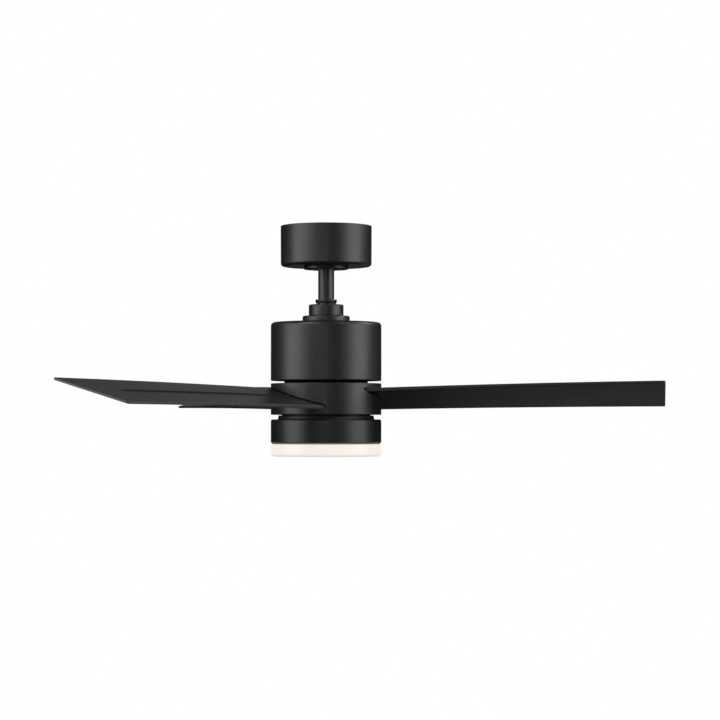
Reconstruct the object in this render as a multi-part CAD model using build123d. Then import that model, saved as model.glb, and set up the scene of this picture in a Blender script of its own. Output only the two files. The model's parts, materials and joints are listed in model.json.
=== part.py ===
from build123d import *

import math
import os

# Ceiling fan with light, hanging below a flat ceiling.
# Millimetres.  The origin is on the fan's axis at the ceiling, +Z points up into the ceiling,
# so every height below is negative.  Azimuths are degrees from +X, anticlockwise from above.

# ---------------------------------------------------------------- driving dimensions
SWEEP_RADIUS = 558.8  # 44 in blade sweep
BLADE_COUNT = 3
FIRST_BLADE_AZIMUTH = -8.1

RUNNING = 0.3  # gap between curved faces that move past each other
SNUG = 0.05  # gap between pieces fixed to each other
SHEET = 1.5  # pressed steel and die-cast walls

# Outer profile, from the ceiling down.
CANOPY_RADIUS = 75.8
CANOPY_LOW_RADIUS = 75.5
CANOPY_BOTTOM = -67.4
CANOPY_ROUND = 5.0
RING_RADIUS = 37.3
RING_BOTTOM = -72.2
ROD_RADIUS = 13.35  # 3/4 in pipe, 26.7 mm outside
ROD_WALL = 2.0
COLLAR_TOP = -122.4
COLLAR_BOTTOM = -128.9
COLLAR_RADIUS = 18.2
COLLAR_LOW_RADIUS = 16.7
COVER_RADIUS = 28.9
COVER_TOP = -130.7
COVER_BOTTOM = -148.8
BASE_RADIUS = 39.3
BASE_TOP = -149.6
BASE_BOTTOM = -158.6
MOTOR_RADIUS = 91.9
MOTOR_TOP = -160.4
MOTOR_BOTTOM = -256.3
MOTOR_ROUND = 6.0
NECK_RADIUS = 69.5
HUB_RADIUS = 91.8
HUB_TOP = -261.8
HUB_BOTTOM = -313.9
PAN_TOP = -314.9
PAN_TOP_RADIUS = 78.8
PAN_LOW_RADIUS = 80.4
PAN_LIP_RADIUS = 73.5  # lip that stands inside the hub's floor opening
PAN_LIP_HEIGHT = 5.5
PAN_SCREW_RADIUS = 75.0
PAN_SCREW_AZIMUTH = 20.0
LIGHT_RADIUS = 91.7
LIGHT_TOP = -321.4
LIGHT_BOTTOM = -360.3
LENS_TOP = -362.0
LENS_BOTTOM = -382.8
LENS_ROUND = 5.5
SMALL_ROUND = 1.5

# Hanger bracket and ball.
BRACKET_LENGTH = 112.0
BRACKET_WIDTH = 44.0
BRACKET_SHEET = 2.0
BOX_SCREW_SPACING = 88.9  # 3 1/2 in outlet-box screws
BOX_SLOT_WIDTH = 5.2
BOX_SLOT_LENGTH = 12.0
LEG_OFFSET = 33.0
LEG_WIDTH = 30.0
BALL_RADIUS = 26.0
BALL_HEIGHT = -36.0  # height of the swivel centre
BALL_TOP = -18.0
BALL_BOTTOM = -57.0
LINER_SHEET = 1.3
SEAT_LOW = -59.0
SEAT_HIGH = -50.0
TAB_WIDTH = 4.0  # bracket tab that keeps the ball from turning
TAB_HEIGHT = -52.0
GROUND_SCREW_PLACE = (46.0, 14.0)
RING_SCREW_RADIUS = 24.0  # circle of the two canopy screws
RING_TURN = 20.0  # degrees from locked to open
ROD_HOLE_RADIUS = 16.5

# Yoke under the coupling cover.
YOKE_RADIUS = 19.0
YOKE_TOP = -136.0
YOKE_FLANGE = -165.5
YOKE_BOTTOM = -173.0
ROD_BOTTOM = -157.5
CLEVIS_HEIGHT = -142.0
HOUSING_SCREW_RADIUS = 27.5

# Motor.
SHAFT_RADIUS = 8.5  # 17 mm hollow shaft
SHAFT_BORE = 5.5
BEARING_RADIUS = 20.0  # 17 x 40 x 12 ball bearings
BEARING_WIDTH = 12.0
UPPER_BEARING = -190.0
LOWER_BEARING = -246.0
BELL_RADIUS = 62.0
BELL_WALL = 2.5
BELL_TOP = -186.0
BELL_BOTTOM = -250.0
POLES = 12
MAGNETS = 14
CORE_TOP = -202.0
CORE_BOTTOM = -232.0
CORE_RADIUS = 52.5

# Blades: a plate that widens outwards, pitched about its length and slightly bowed upwards.
BLADE_ROOT = 48.0  # span position of the inner end
BLADE_ROOT_HEIGHT = -287.3  # middle of the plate where it leaves the hub
BLADE_RISE = 7.2  # how much higher the middle is at the tip
BLADE_BOW = 1.0
ROOT_SLOPE = 0.268  # fall per unit of width, about 15 degrees
TIP_SLOPE = 0.243
ROOT_HIGH_WIDTH = 53.0  # from the span line to the raised edge
TIP_HIGH_WIDTH = 78.2
ROOT_LOW_WIDTH = 54.4  # from the span line to the lowered edge
TIP_LOW_WIDTH = 73.8
EDGE_SPAN = 74.8  # span position where the edges cross the hub's surface
ROOT_THICKNESS = 6.2
TIP_THICKNESS = 3.8
TIP_CORNER = 3.0
RIB_START = 100.0
RIB_HALF_WIDTH = 4.5
RIB_HEIGHT = 1.8
RIB_END = 497.0
SLOT_SIDE_GAP = 1.0  # room round the blade in the hub's slot
SLOT_BELOW_GAP = 0.5
SLOT_ABOVE_GAP = 1.8
SLOT_RELIEF = 4.8  # reach and height of the round relief at the slot's raised end
PAD_GAP = 1.5  # rubber between blade and carrier
BLADE_SCREWS = ((56.0, 0.0), (72.0, -22.0), (72.0, 22.0))
CARRIER_TOP = -264.0
CARRIER_SHEET = 4.0
CARRIER_SCREW_RADIUS = 60.0
CARRIER_SCREW_TURNS = (46.0, 74.0)  # degrees past each blade, clear of the blade seats
HUB_SCREW_RADIUS = 79.0

# Light.
HEAT_SINK_TOP = -343.0
HEAT_SINK_SHEET = 3.0
LED_RINGS = ((22.0, 8), (44.0, 14), (66.0, 20))
SINK_SCREW_RADIUS = 85.9
SINK_SCREW_AZIMUTH = 50.0
LUG_COUNT = 3  # bayonet lugs of the lens
LUG_HALF_ANGLE = 7.0
LEDGE_HALF_ANGLE = 14.0


# ---------------------------------------------------------------- helpers
def disc(radius, low, high):
    """A solid cylinder about the fan's axis between two heights."""
    return Pos(0, 0, (low + high) / 2) * Cylinder(radius, high - low)


def ring(outer, inner, low, high):
    """A plain ring about the fan's axis between two heights."""
    return disc(outer, low, high) - disc(inner, low - 1, high + 1)


def turned(outline):
    """The solid swept by a closed outline of (radius, height) points about the fan's axis."""
    return revolve(make_face(Plane.XZ * Polyline(*outline, close=True)), Axis.Z)


def around(shape, count, start=0.0):
    """Copies of a shape spaced evenly about the fan's axis."""
    return [Rot(0, 0, start + index * 360 / count) * shape for index in range(count)]


def merged(shapes):
    """One solid from shapes that overlap."""
    first, *others = shapes
    return first.fuse(*others) if others else first


def group(shapes):
    """Separate solids kept together in one node."""
    solids = [solid for shape in shapes for solid in shape.solids()]
    return Compound(solids)


def rims(part, radius, height):
    """The circular edges of a part with the given radius and height."""
    circles = part.edges().filter_by(GeomType.CIRCLE)
    return [e for e in circles if abs(e.radius - radius) < 0.01 and abs(e.arc_center.Z - height) < 0.01]


def rounded(part, radius, height, amount):
    """The part with one circular edge rounded off."""
    return fillet(rims(part, radius, height), amount)


def ball_shell(outer, inner, low, high):
    """The part of a hollow ball about the swivel centre between two heights."""
    shell = Sphere(outer) - Sphere(inner)
    return Pos(0, 0, BALL_HEIGHT) * shell & disc(outer + 1, low, high)


def arc_slot(radius, width, start, end, low, high):
    """A cutter for a slot that follows a circle from one azimuth to another."""
    track = ring(radius + width / 2, radius - width / 2, low, high)
    reach = radius + width
    wedge_points = [(0, 0)]
    steps = 4
    for step in range(steps + 1):
        angle = math.radians(start + (end - start) * step / steps)
        wedge_points.append((2 * reach * math.cos(angle), 2 * reach * math.sin(angle)))
    wedge = extrude(make_face(Polyline(*wedge_points, close=True)), high - low + 2)
    slot = track & Pos(0, 0, low - 1) * wedge
    for azimuth in (start, end):
        slot += Rot(0, 0, azimuth) * Pos(radius, 0, (low + high) / 2) * Cylinder(width / 2, high - low)
    return slot


def pan_screw(shank_radius, head_radius, length, head_height):
    """A screw standing on its head's underside, pointing up, its cross slot open below."""
    shank = Pos(0, 0, length / 2) * Cylinder(shank_radius, length)
    head = Pos(0, 0, -head_height / 2) * Cylinder(head_radius, head_height)
    head = fillet(head.edges().sort_by(Axis.Z)[0], head_height * 0.45)
    cross = Box(head_radius * 1.2, head_radius * 0.3, head_height) + Box(
        head_radius * 0.3, head_radius * 1.2, head_height
    )
    return shank + head - Pos(0, 0, -head_height) * cross


def hex_nut(flats, bore, low, high):
    """A hexagonal nut about the fan's axis."""
    blank = Pos(0, 0, low) * extrude(RegularPolygon(flats / 2, 6, major_radius=False), high - low)
    return blank - disc(bore, low - 1, high + 1)


# ---------------------------------------------------------------- ceiling side
def hanger_bracket():
    """Pressed steel bracket: top plate on the ceiling, two legs and an open cradle for the ball."""
    plate = Pos(0, 0, -BRACKET_SHEET / 2) * Box(BRACKET_LENGTH, BRACKET_WIDTH, BRACKET_SHEET)
    plate = fillet(plate.edges().filter_by(Axis.Z), 6.0)
    slot = SlotOverall(BOX_SLOT_LENGTH, BOX_SLOT_WIDTH)
    cutter = Pos(0, 0, -2 * BRACKET_SHEET) * extrude(slot, 4 * BRACKET_SHEET)
    for side in (-1, 1):
        plate -= Pos(side * BOX_SCREW_SPACING / 2, 0, 0) * cutter
    leg_height = -SEAT_LOW
    legs = []
    for side in (-1, 1):
        legs.append(Pos(side * LEG_OFFSET, 0, -leg_height / 2) * Box(BRACKET_SHEET, LEG_WIDTH, leg_height))
    seat_inner = BALL_RADIUS + LINER_SHEET + 2 * RUNNING
    seat_outer = seat_inner + BRACKET_SHEET
    cup = ball_shell(seat_outer, seat_inner, SEAT_LOW, SEAT_HIGH)
    floor_plate = Pos(0, 0, SEAT_LOW + BRACKET_SHEET / 2) * Box(2 * LEG_OFFSET, LEG_WIDTH + 16, BRACKET_SHEET)
    floor_plate -= Pos(0, 0, BALL_HEIGHT) * Sphere(seat_inner)
    floor_plate -= disc(ROD_HOLE_RADIUS, SEAT_LOW - 1, SEAT_HIGH)
    bracket = merged([plate, *legs, floor_plate, cup])
    # Open back, wide enough for the rod when the ball is lifted in.
    mouth = 2 * (ROD_RADIUS + 2)
    bracket -= Pos(0, 30, (SEAT_LOW + SEAT_HIGH) / 2) * Box(mouth, 60, SEAT_HIGH - SEAT_LOW + 4)
    for hole in around(Pos(RING_SCREW_RADIUS, 0, SEAT_LOW) * Cylinder(2.0, 8), 2):
        bracket -= hole
    bracket -= Pos(*GROUND_SCREW_PLACE, 0) * Cylinder(1.65, 6)
    # Tab that enters the ball's groove and stops it turning.
    return bracket + Pos(0, -21.25, TAB_HEIGHT) * Box(TAB_WIDTH, 5.5, 4.0)


def canopy():
    """Thin spun cup against the ceiling, with slight draft and a rod hole in its floor."""
    outer = Pos(0, 0, CANOPY_BOTTOM) * extrude(
        Circle(CANOPY_LOW_RADIUS),
        -CANOPY_BOTTOM,
        taper=-math.degrees(math.atan((CANOPY_RADIUS - CANOPY_LOW_RADIUS) / -CANOPY_BOTTOM)),
    )
    outer = fillet(outer.edges().sort_by(Axis.Z)[0], CANOPY_ROUND)
    inner = disc(CANOPY_LOW_RADIUS - SHEET, CANOPY_BOTTOM + SHEET, 1)
    inner = rounded(inner, CANOPY_LOW_RADIUS - SHEET, CANOPY_BOTTOM + SHEET, CANOPY_ROUND - SHEET)
    shell = outer - inner - disc(ROD_HOLE_RADIUS + 2, CANOPY_BOTTOM - 1, CANOPY_BOTTOM + 3)
    for hole in around(Pos(RING_SCREW_RADIUS, 0, CANOPY_BOTTOM) * Cylinder(2.3, 8), 2):
        shell -= hole
    return shell


def canopy_screws():
    """Two screws that pass through ring and canopy into the bracket's cradle."""
    length = SEAT_LOW - CANOPY_BOTTOM + 5.4
    screw = pan_screw(1.95, 3.8, length, 2.0)
    return group(around(Pos(RING_SCREW_RADIUS, 0, CANOPY_BOTTOM - 1.6) * screw, 2))


def canopy_ring():
    """Twist-on trim ring under the canopy, recessed below, with keyhole slots for the screws."""
    top = CANOPY_BOTTOM - 0.1
    floor_low = top - 1.3
    body = disc(RING_RADIUS, RING_BOTTOM, top)
    body = rounded(body, RING_RADIUS, RING_BOTTOM, SMALL_ROUND)
    body -= ring(RING_RADIUS - 3, ROD_HOLE_RADIUS + 1.2, RING_BOTTOM - 1, floor_low)
    body -= disc(ROD_HOLE_RADIUS, RING_BOTTOM - 1, top + 1)
    for start in (0.0, 180.0):
        body -= arc_slot(RING_SCREW_RADIUS, 4.8, start - RING_TURN, start + 2, floor_low - 1, top + 1)
        eye = Pos(RING_SCREW_RADIUS, 0, top) * Cylinder(4.4, 6)
        body -= Rot(0, 0, start - RING_TURN) * eye
    return body


def receiver_box():
    """Remote-control receiver held between the bracket's legs, above the ball."""
    box = Pos(0, 0, -9.4) * Box(60, 38, 11.6)
    box = fillet(box.edges(), 1.6)
    for side in (-1, 1):
        box -= Pos(side * 26, 0, -15.2) * Box(2.4, 20, 1.6)
    return box


def ground_screw():
    """Green earthing screw in the bracket's top plate."""
    place = Pos(*GROUND_SCREW_PLACE, -BRACKET_SHEET - SNUG)
    return place * pan_screw(1.6, 3.6, BRACKET_SHEET - 0.2, 2.0)


def ball_seat_liner():
    """Split nylon liner between the ball and the bracket's cradle."""
    inner = BALL_RADIUS + RUNNING
    liner = ball_shell(inner + LINER_SHEET, inner, SEAT_LOW + 1.5, SEAT_HIGH + 1)
    return liner - Pos(0, -25, TAB_HEIGHT) * Box(TAB_WIDTH + 3, 50, 20)


# ---------------------------------------------------------------- ball, rod and covers
def hanger_ball():
    """Truncated ball fixed on the top of the rod by a cross pin."""
    ball = Pos(0, 0, BALL_HEIGHT) * Sphere(BALL_RADIUS) & disc(BALL_RADIUS + 1, BALL_BOTTOM, BALL_TOP)
    ball -= disc(ROD_RADIUS + SNUG, BALL_BOTTOM - 1, BALL_TOP + 1)
    ball -= Pos(0, 0, BALL_HEIGHT) * Rot(0, 90, 0) * Cylinder(2.5 + SNUG, 60)
    ball -= Pos(0, 20, BALL_HEIGHT + 8) * Rot(90, 0, 0) * Cylinder(2.5 + SNUG, 24)
    # Groove for the bracket's tab.
    return ball - Pos(0, -22.2, TAB_HEIGHT) * Box(TAB_WIDTH + 2.4, 10, 20)


def ball_cross_pin():
    """Pin through ball and rod."""
    return Pos(0, 0, BALL_HEIGHT) * Rot(0, 90, 0) * Cylinder(2.5, 44)


def ball_set_screw():
    """Set screw that stops the ball rattling on the rod."""
    length = 9.0
    screw = Rot(-90, 0, 0) * Cylinder(2.5, length)
    socket = Rot(-90, 0, 0) * extrude(RegularPolygon(1.2, 6), 3)
    middle = ROD_RADIUS + SNUG + length / 2
    return Pos(0, middle, BALL_HEIGHT + 8) * (screw - Pos(0, length / 2 - 2, 0) * socket)


def downrod():
    """Steel tube from the ball down into the yoke, with its cross holes."""
    rod = ring(ROD_RADIUS, ROD_RADIUS - ROD_WALL, ROD_BOTTOM, -22.0)
    rod -= Pos(0, 0, BALL_HEIGHT) * Rot(0, 90, 0) * Cylinder(2.5 + SNUG, 40)
    rod -= Pos(0, 0, CLEVIS_HEIGHT) * Rot(0, 90, 0) * Cylinder(3 + SNUG, 40)
    return rod


def rod_collar():
    """Small flared trim collar on the rod above the coupling cover."""
    outline = [
        (ROD_RADIUS + SNUG, COLLAR_BOTTOM),
        (COLLAR_LOW_RADIUS, COLLAR_BOTTOM),
        (COLLAR_RADIUS, COLLAR_TOP - 2.3),
        (COLLAR_RADIUS - 0.7, COLLAR_TOP),
        (ROD_RADIUS + SNUG, COLLAR_TOP),
    ]
    return turned(outline)


def coupling_cover():
    """Upper cup over the yoke, with a short spigot under the collar."""
    cup = disc(COVER_RADIUS, COVER_BOTTOM, COVER_TOP)
    cup = rounded(cup, COVER_RADIUS, COVER_TOP, 2.4)
    hollow = disc(COVER_RADIUS - SHEET, COVER_BOTTOM - 1, COVER_TOP - SHEET)
    spigot = disc(15.5, COVER_TOP - 1, COLLAR_BOTTOM)
    return cup - hollow + spigot - disc(ROD_RADIUS + 0.2, COVER_BOTTOM, COLLAR_BOTTOM + 1)


def coupling_base():
    """Wider lower cup that stands on the motor housing and carries the upper one."""
    cup = disc(BASE_RADIUS, BASE_BOTTOM, BASE_TOP)
    cup = rounded(cup, BASE_RADIUS, BASE_TOP, 2.4)
    foot = disc(BASE_RADIUS - 1.9, MOTOR_TOP + SNUG, BASE_BOTTOM)
    step = disc(COVER_RADIUS - SHEET - 0.1, BASE_TOP, COVER_BOTTOM + 1.5)
    hollow = disc(BASE_RADIUS - 1.9 - SHEET, MOTOR_TOP - 1, BASE_TOP - SHEET)
    return cup + foot + step - hollow - disc(21.0, BASE_TOP - 3, COVER_BOTTOM + 3)


def motor_yoke():
    """Cast collar that joins the rod to the hollow shaft and carries the housing's top."""
    boss = disc(YOKE_RADIUS, YOKE_FLANGE, YOKE_TOP)
    flange = disc(34.0, YOKE_FLANGE, MOTOR_TOP - SHEET - SNUG)
    lower = disc(16.0, YOKE_BOTTOM, YOKE_FLANGE)
    yoke = boss + flange + lower
    yoke -= disc(ROD_RADIUS + SNUG, ROD_BOTTOM - 0.5, YOKE_TOP + 1)
    yoke -= disc(SHAFT_BORE, ROD_BOTTOM - 4, ROD_BOTTOM)
    yoke -= disc(SHAFT_RADIUS + SNUG, YOKE_BOTTOM - 1, -160.0)
    yoke -= Pos(0, 0, CLEVIS_HEIGHT) * Rot(0, 90, 0) * Cylinder(3 + SNUG, 60)
    yoke -= Pos(0, 0, YOKE_TOP - 5) * Rot(90, 0, 0) * Cylinder(2.5 + SNUG, 60)
    for hole in around(Pos(HOUSING_SCREW_RADIUS, 0, -163.0) * Cylinder(2.05, 10), 3, 30):
        yoke -= hole
    return yoke


def clevis_pin():
    """Headed pin through yoke and rod."""
    shank = Rot(0, 90, 0) * Cylinder(3.0, 45)
    head = Pos(-22, 0, 0) * Rot(0, 90, 0) * Cylinder(4.5, 2)
    hole = Pos(20.8, 0, 0) * Cylinder(1.1, 10)
    return Pos(0, 0, CLEVIS_HEIGHT) * (shank + head - hole)


def cotter_pin():
    """Hairpin through the clevis pin's end."""
    leg = Cylinder(0.9, 9)
    bend = Pos(0, 1.9, 4.5) * Rot(0, 90, 0) * Torus(1.9, 0.9)
    bend &= Pos(0, 1.9, 8.5) * Box(6, 10, 8)
    tail = Pos(0, 3.8, 3.0) * Cylinder(0.9, 3)
    return Pos(20.8, 0, CLEVIS_HEIGHT) * (leg + bend + tail)


def yoke_set_screws():
    """Two hex-head set screws that clamp the rod in the yoke."""
    shank = Cylinder(2.5, 11)
    head = Pos(0, 0, 5.5) * extrude(RegularPolygon(2.6, 6, major_radius=False), 1.6)
    screw = Rot(-90, 0, 0) * (shank + head)
    place = Pos(0, ROD_RADIUS + SNUG + 5.5, YOKE_TOP - 5)
    return group(around(place * screw, 2))


def yoke_lock_nuts():
    """Lock nuts on the two set screws."""
    nut = extrude(RegularPolygon(3.9, 6, major_radius=False), 2.6) - Cylinder(2.5 + SNUG, 20)
    place = Pos(0, YOKE_RADIUS + 0.2, YOKE_TOP - 5) * Rot(-90, 0, 0)
    return group(around(place * nut, 2))


# ---------------------------------------------------------------- motor housing and motor
def motor_housing():
    """Drum over the motor, with a rounded shoulder and a hole for the yoke."""
    outer = disc(MOTOR_RADIUS, MOTOR_BOTTOM, MOTOR_TOP)
    outer = rounded(outer, MOTOR_RADIUS, MOTOR_TOP, MOTOR_ROUND)
    outer = rounded(outer, MOTOR_RADIUS, MOTOR_BOTTOM, 1.2)
    inner = disc(MOTOR_RADIUS - SHEET, MOTOR_BOTTOM - 1, MOTOR_TOP - SHEET)
    inner = rounded(inner, MOTOR_RADIUS - SHEET, MOTOR_TOP - SHEET, MOTOR_ROUND - SHEET)
    shell = outer - inner - disc(YOKE_RADIUS + 0.4, MOTOR_TOP - 3, MOTOR_TOP + 1)
    for hole in around(Pos(HOUSING_SCREW_RADIUS, 0, MOTOR_TOP) * Cylinder(2.3, 10), 3, 30):
        shell -= hole
    return shell


def housing_screws():
    """Three screws that hold the housing's top on the yoke's flange."""
    screw = Rot(180, 0, 0) * pan_screw(2.0, 3.9, 5.0, 2.2)
    return group(around(Pos(HOUSING_SCREW_RADIUS, 0, MOTOR_TOP + SNUG) * screw, 3, 30))


def housing_base_ring():
    """Flat ring that closes the housing's bottom around the turning neck."""
    flat = ring(MOTOR_RADIUS - SHEET - SNUG, NECK_RADIUS + 1.6, MOTOR_BOTTOM, MOTOR_BOTTOM + SHEET)
    rim = ring(MOTOR_RADIUS - SHEET - SNUG, MOTOR_RADIUS - 2 * SHEET, MOTOR_BOTTOM, MOTOR_BOTTOM + 9)
    return flat + rim


def motor_shaft():
    """Hollow shaft: fixed in the yoke above, carries the light's pan below."""
    return ring(SHAFT_RADIUS, SHAFT_BORE, -331.0, -160.5)


def control_board():
    """Annular motor-drive board on posts under the housing's top, with its larger components."""
    low, high = -173.0, -171.4
    board = ring(58.0, 24.0, low, high)
    pieces = [board]
    roof = MOTOR_TOP - SHEET
    post = Pos(54.0, 0, (high + roof) / 2) * Cylinder(2.2, roof - high)
    pieces += around(post, 4, 45)
    pieces.append(Pos(40, 0, low - 4) * Cylinder(6, 8))
    pieces.append(Pos(-38, 12, low - 3) * Box(14, 10, 6))
    pieces.append(Pos(-36, -14, low - 2) * Box(9, 9, 4))
    pieces.append(Pos(0, 42, low - 4) * Box(18, 10, 8))
    pieces.append(Pos(4, -42, low - 1.5) * Box(12, 12, 3))
    return merged(pieces)


def stator_core():
    """Laminated iron core: hub, teeth and tooth shoes."""
    middle = (CORE_TOP + CORE_BOTTOM) / 2
    height = CORE_TOP - CORE_BOTTOM
    tooth = Pos((20 + CORE_RADIUS - 2) / 2, 0, middle) * Box(CORE_RADIUS - 22, 7.0, height)
    shoes = ring(CORE_RADIUS, CORE_RADIUS - 3, CORE_BOTTOM, CORE_TOP)
    gap = Pos(CORE_RADIUS, 0, middle) * Box(12, 3.0, height + 2)
    shoes = shoes.cut(*around(gap, POLES, 180 / POLES))
    hub = disc(22.0, CORE_BOTTOM, CORE_TOP)
    core = merged([hub, *around(tooth, POLES), shoes])
    return core - disc(SHAFT_RADIUS + SNUG, CORE_BOTTOM - 1, CORE_TOP + 1)


def stator_windings():
    """Twelve copper coils, one round each tooth."""
    middle = (CORE_TOP + CORE_BOTTOM) / 2
    height = CORE_TOP - CORE_BOTTOM
    coil = Pos(37.0, 0, middle) * Box(18.0, 12.4, height + 9)
    coil = fillet(coil.edges().filter_by(Axis.X), 3.6)
    hole = Pos(37.0, 0, middle) * Box(30.0, 7.0 + 2 * SNUG, height + 2 * SNUG)
    return group(around(coil - hole, POLES))


def bearing(height):
    """Inner race, outer race and balls of one bearing at a height."""
    low, high = height - BEARING_WIDTH / 2, height + BEARING_WIDTH / 2
    pitch = (SHAFT_RADIUS + BEARING_RADIUS) / 2
    groove = Pos(0, 0, height) * Torus(pitch, 3.4)
    inner = ring(12.0, SHAFT_RADIUS + SNUG, low, high) - groove
    outer = ring(BEARING_RADIUS, 16.5, low, high) - groove
    balls = around(Pos(pitch, 0, height) * Sphere(3.1), 8)
    return inner, outer, group(balls)


def carrier_screw_places(shape, height):
    """Copies of a shape at the six screws between carrier and motor neck, two past each blade."""
    places = []
    for turn in CARRIER_SCREW_TURNS:
        placed = Pos(CARRIER_SCREW_RADIUS, 0, height) * shape
        places += around(placed, BLADE_COUNT, FIRST_BLADE_AZIMUTH + turn)
    return places


def rotor_bell():
    """Upper half of the turning motor case, with the upper bearing's seat."""
    side = ring(BELL_RADIUS, BELL_RADIUS - BELL_WALL, BELL_BOTTOM, BELL_TOP)
    roof = disc(BELL_RADIUS, BELL_TOP - 3, BELL_TOP)
    roof = rounded(roof, BELL_RADIUS, BELL_TOP, 2.0)
    flange = ring(NECK_RADIUS, BELL_RADIUS - 1, BELL_BOTTOM, BELL_BOTTOM + 2.5)
    seat = disc(BEARING_RADIUS + 3.5, UPPER_BEARING - 6.5, UPPER_BEARING + 7.5)
    bell = merged([side, roof, flange, seat])
    bell -= disc(BEARING_RADIUS + SNUG, UPPER_BEARING - 8, UPPER_BEARING + 6)
    bell -= disc(14.0, UPPER_BEARING, UPPER_BEARING + 9)
    for vent in around(Pos(42.0, 0, BELL_TOP - 1) * Box(18, 6, 8), 6):
        bell -= vent
    for hole in around(Pos(66.0, 0, BELL_BOTTOM) * Cylinder(1.55, 12), 6):
        bell -= hole
    return bell


def rotor_base():
    """Lower half of the motor case: bearing seat and the neck that drives the hub."""
    plate = disc(NECK_RADIUS, BELL_BOTTOM - 3, BELL_BOTTOM - SNUG)
    seat = disc(BEARING_RADIUS + 3.5, LOWER_BEARING - 7.5, LOWER_BEARING + 6.5)
    neck = ring(NECK_RADIUS, NECK_RADIUS - 3, CARRIER_TOP + SNUG, BELL_BOTTOM - 2)
    foot = ring(NECK_RADIUS, 54.0, CARRIER_TOP + SNUG, CARRIER_TOP + 2.2)
    base = merged([plate, seat, neck, foot])
    base -= disc(BEARING_RADIUS + SNUG, LOWER_BEARING - 6, LOWER_BEARING + 8)
    base -= disc(14.0, LOWER_BEARING - 9, LOWER_BEARING)
    for hole in around(Pos(66.0, 0, BELL_BOTTOM) * Cylinder(1.55, 12), 6):
        base -= hole
    for hole in carrier_screw_places(Cylinder(2.05, 12), CARRIER_TOP):
        base -= hole
    return base


def rotor_magnets():
    """Ferrite segments bonded inside the bell."""
    hollow = BELL_RADIUS - BELL_WALL - SNUG
    band = ring(hollow, hollow - 4.4, CORE_BOTTOM - 2, CORE_TOP + 2)
    gap = Pos(hollow, 0, (CORE_TOP + CORE_BOTTOM) / 2) * Box(20, 1.4, 60)
    return group([band.cut(*around(gap, MAGNETS))])


def rotor_screws():
    """Six screws that join the two halves of the motor case."""
    screw = Rot(180, 0, 0) * pan_screw(1.5, 2.6, 5.2, 1.8)
    return group(around(Pos(66.0, 0, BELL_BOTTOM + 2.5 + SNUG) * screw, 6))


# ---------------------------------------------------------------- blades
def share_of_span(span):
    """0 where the blade leaves the hub, 1 at the tip."""
    return (span - EDGE_SPAN) / (SWEEP_RADIUS - EDGE_SPAN)


def between(root_value, tip_value, span):
    """A value that changes evenly from the hub to the tip."""
    return root_value + (tip_value - root_value) * share_of_span(span)


def blade_height(span):
    """Height of the plate's middle on the span line."""
    share = share_of_span(span)
    return BLADE_ROOT_HEIGHT + BLADE_RISE * share + 4 * BLADE_BOW * share * (1 - share)


def blade_thickness(span):
    """The plate thins outwards from the hub."""
    return min(ROOT_THICKNESS, between(ROOT_THICKNESS, TIP_THICKNESS, span))


def chord_plane(span, across=0.0):
    """Plane across the span, X along the chord towards the lowered edge, Y out of the upper face."""
    slope = between(ROOT_SLOPE, TIP_SLOPE, span)
    origin = (span, across, blade_height(span) - across * slope)
    return Plane(origin=origin, x_dir=(0, 1, -slope), z_dir=(1, 0, 0))


def blade_section(span, extra_width=0.0, extra_below=0.0, extra_above=0.0):
    """Round-edged cross-section of the plate, made larger where it is used as a cutter."""
    high = between(ROOT_HIGH_WIDTH, TIP_HIGH_WIDTH, span)
    low = between(ROOT_LOW_WIDTH, TIP_LOW_WIDTH, span)
    slope = between(ROOT_SLOPE, TIP_SLOPE, span)
    stretch = math.hypot(1, slope)
    chord = (high + low) * stretch + 2 * extra_width
    thickness = blade_thickness(span) + extra_below + extra_above
    plane = chord_plane(span, (low - high) / 2)
    return plane * Pos(0, (extra_above - extra_below) / 2) * SlotOverall(chord, thickness)


def slot_relief_section():
    """Round-ended relief that lengthens the hub's slot past the blade's raised edge."""
    end = chord_plane(HUB_RADIUS, -ROOT_HIGH_WIDTH)
    return end * SlotOverall(2 * SLOT_RELIEF, SLOT_RELIEF)


def rib_section(span, half_width, height):
    """Low rounded bump across the upper face."""
    surface = blade_thickness(span) / 2
    sunk = surface - 0.4
    bump = ThreePointArc((-half_width, surface), (0, surface + height), (half_width, surface))
    closing = Polyline((half_width, surface), (half_width, sunk), (-half_width, sunk), (-half_width, surface))
    return chord_plane(span) * make_face([bump, closing])


def root_plane():
    """The blade's middle plane at the hub: X outwards along the blade, Z out of its upper face."""
    inner, outer = BLADE_ROOT, EDGE_SPAN
    rise = (blade_height(outer) - blade_height(inner)) / (outer - inner)
    span = (inner + outer) / 2
    normal = Vector(-rise, ROOT_SLOPE, 1)
    return Plane(origin=(span, 0, blade_height(span)), x_dir=(1, 0, rise), z_dir=normal)


def root_place(span, across, above):
    """A location on the root plane, at a span position and a height above the plate's middle."""
    plane = root_plane()
    return plane.location * Pos(span - plane.origin.X, across, above)


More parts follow.
